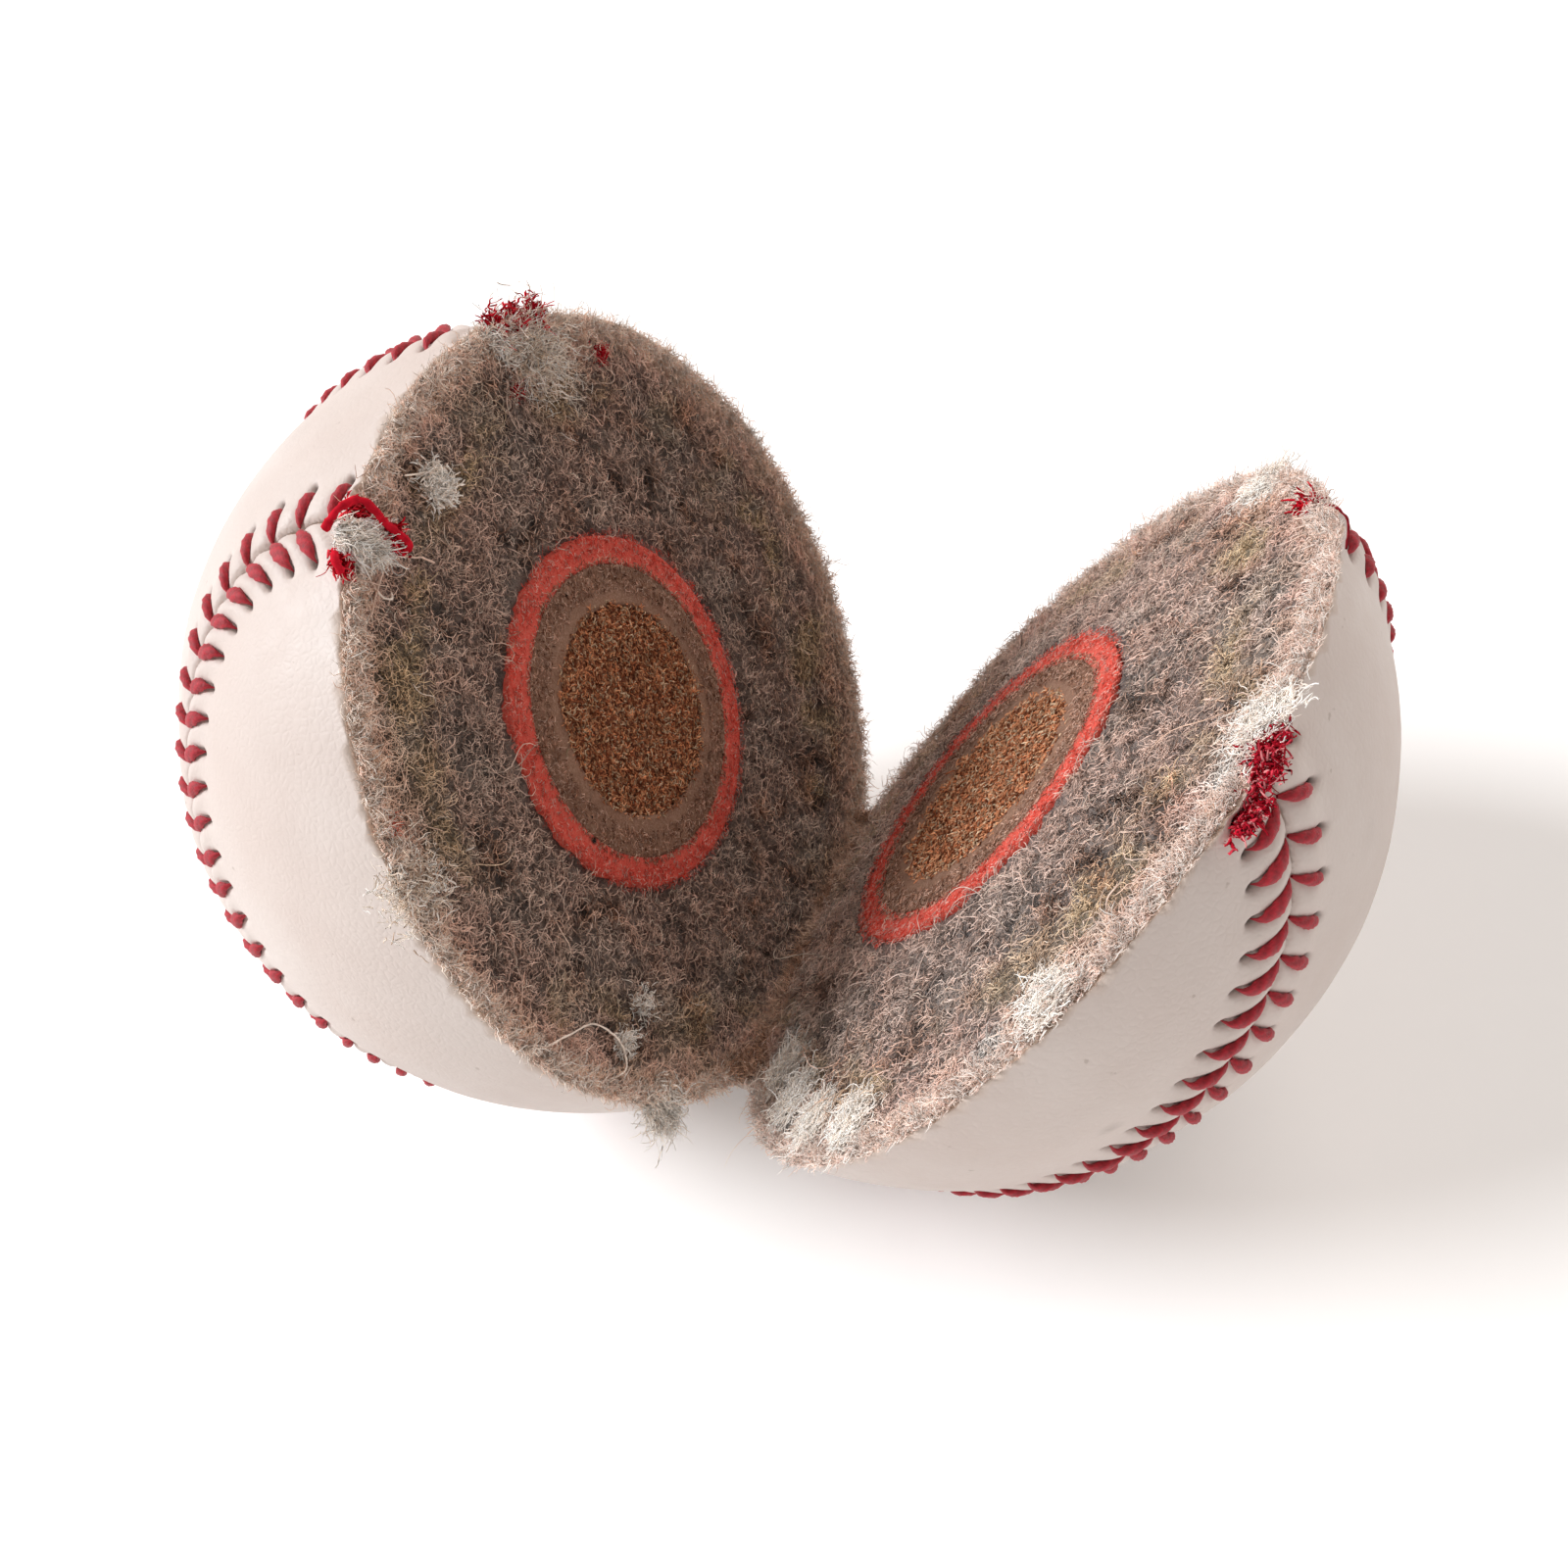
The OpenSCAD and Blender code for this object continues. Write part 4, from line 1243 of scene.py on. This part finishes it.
def strip_web(name, end):
    """Torn leather that closes the wedge between the rims past one end of the hinge line."""
    low = math.degrees(math.acos(-HINGE_REACH / RIM_R))
    turn = np.radians(np.linspace(low + 4, WEB_TOP[end], WEB_STEPS)) * end
    share = np.linspace(0, 1, WEB_STEPS)
    sheets = []
    for inset in WEB_INSETS:
        rims = [place(on_face(RIM_R - inset, turn, out) - [out * inset * 0.3, 0, 0], side)
                for side, out in OUT.items()]
        across = rims[0][:, None] + (rims[1] - rims[0])[:, None] * share[None, :, None]
        sag = np.sin(math.pi * share)[None, :] * np.linspace(0, WEB_SAG, WEB_STEPS)[:, None]
        across[..., 2] -= sag
        sheets.append(across.reshape(-1, 3))
    points = np.concatenate(sheets)
    points += 0.12 * np.column_stack([noise(points, 0.9, 811 + k) for k in range(3)])
    edge = np.repeat([0.25, 1.0], WEB_STEPS ** 2)
    bend_with_hinge(make_piece(name, points, sheet_faces(WEB_STEPS, WEB_STEPS), None, LEATHER,
                               {"edge": edge, "dark": 0 * edge, "stain": 0.1 + 0 * edge}))


strip_web("strip_web_front", -1)
strip_web("strip_web_back", 1)


def crease_fuzz():
    """Matted wool along the hinge line, where the two sawn faces hang together."""
    rng = np.random.default_rng(801)
    count = 8000
    y = rng.uniform(-19.8, 17.6, count)
    past = np.clip(np.abs(y) - 15.1, 0, None)
    lift = past * 0.62
    width = 0.5 + 0.35 * past
    roots = np.column_stack([HINGE[0] + rng.normal(0, 1, count) * width, y,
                             HINGE[2] + lift + rng.uniform(-0.5, 0.4, count)])
    middle = (OPENING / 2) + math.radians(14)
    lean = rng.uniform(-0.45, 0.45, count)
    up = unit(np.column_stack([np.sin(lean) + 0.15, 0.35 * rng.normal(0, 1, count),
                               np.cos(lean) * math.cos(middle) + 0.5]))
    long = 1.4 * rng.lognormal(0, 0.3, count)
    points, faces, owner = strands(roots, up, rng.uniform(0, 6.3, count), long,
                                   FIBRE_WIDTH * rng.uniform(0.6, 1.4, count), rng, rise=0.8, drop=1.0, curl=2.4)
    pale = np.clip(0.5 + 1.2 * noise(roots, 2.5, 803), 0, 1)[:, None]
    colour = np.array(srgb(196, 158, 134)) * (1 - pale) + np.array(srgb(250, 218, 196)) * pale
    colour = colour * rng.lognormal(0, 0.4, count)[:, None]
    bend_with_hinge(make_piece("crease_fuzz", points, faces, None, FUZZ,
                               {"tint": keep_hue(colour)[owner]}))


crease_fuzz()


# Floor, light and camera

FLOOR_HALF = 3000.0


def floor():
    n = Nodes("floor")
    n.finish(srgb(250, 249, 248), 0.7, Specular_IOR_Level=0.2)
    seen = n.math("MULTIPLY", n.add("LightPath", "Is Camera Ray", {}), 0.15)
    glow = n.add("Emission", 0, {"Strength": seen})
    both = n.add("AddShader", 0, {0: n.shader.outputs[0], 1: glow})
    n.link(both, n.tree.nodes["Material Output"].inputs["Surface"])
    corners = np.array([[-1, -1, 0], [1, -1, 0], [1, 1, 0], [-1, 1, 0]]) * FLOOR_HALF
    make_piece("floor", corners, [[0, 1, 2, 3]], None, n.material)


def distant_light(name, way, spread, strength, colour):
    """Light from far away, out of the direction way, as soft as a disc of spread radians."""
    data = bpy.data.lights.new(name, "SUN")
    data.energy = strength
    data.angle = spread
    data.color = colour
    lamp = bpy.data.objects.new(name, data)
    lamp.rotation_euler = Vector(way).to_track_quat("Z", "Y").to_euler()
    bpy.context.scene.collection.objects.link(lamp)


def lights():
    world = bpy.data.worlds.new("studio")
    world.use_nodes = True
    nodes, links = world.node_tree.nodes, world.node_tree.links
    sky = nodes["Background"]
    sky.inputs["Color"].default_value = (1, 0.935, 0.885, 1)
    sky.inputs["Strength"].default_value = 0.385
    backdrop = nodes.new("ShaderNodeBackground")
    backdrop.inputs["Color"].default_value = (1, 1, 1, 1)
    both = nodes.new("ShaderNodeMixShader")
    links.new(nodes.new("ShaderNodeLightPath").outputs["Is Camera Ray"], both.inputs[0])
    links.new(sky.outputs[0], both.inputs[1])
    links.new(backdrop.outputs[0], both.inputs[2])
    links.new(both.outputs[0], nodes["World Output"].inputs["Surface"])
    bpy.context.scene.world = world
    distant_light("key", (-420, -160, 385), 0.55, 3.24, (0.98, 1.0, 1.03))
    distant_light("back", (0.25, 0.75, 0.6), 0.8, 1.05, (1, 0.93, 0.88))


CAMERA_AZIMUTH = math.radians(30.56)
CAMERA_ELEVATION = math.radians(39.41)
CAMERA_ROLL = math.radians(-15.35)
CAMERA_AIM = np.array([2.452, -2.372, 33.257])
CAMERA_DISTANCE = 129.92
CAMERA_LENS = 32.69


def camera():
    a, e = CAMERA_AZIMUTH, CAMERA_ELEVATION
    back = np.array([math.sin(a) * math.cos(e), -math.cos(a) * math.cos(e), math.sin(e)])
    level = np.array([math.cos(a), math.sin(a), 0.0])
    rise = np.cross(back, level)
    right = level * math.cos(CAMERA_ROLL) + rise * math.sin(CAMERA_ROLL)
    up = rise * math.cos(CAMERA_ROLL) - level * math.sin(CAMERA_ROLL)
    data = bpy.data.cameras.new("camera")
    data.lens = CAMERA_LENS
    data.sensor_width = 36
    data.clip_start = 0.01
    eye = bpy.data.objects.new("camera", data)
    turn = Matrix([right, up, back]).transposed().to_4x4()
    eye.matrix_world = Matrix.Translation(Vector(CAMERA_AIM + back * CAMERA_DISTANCE) * MM) @ turn
    bpy.context.scene.collection.objects.link(eye)
    bpy.context.scene.camera = eye


floor()
lights()
camera()
bpy.context.scene.view_settings.view_transform = "Standard"
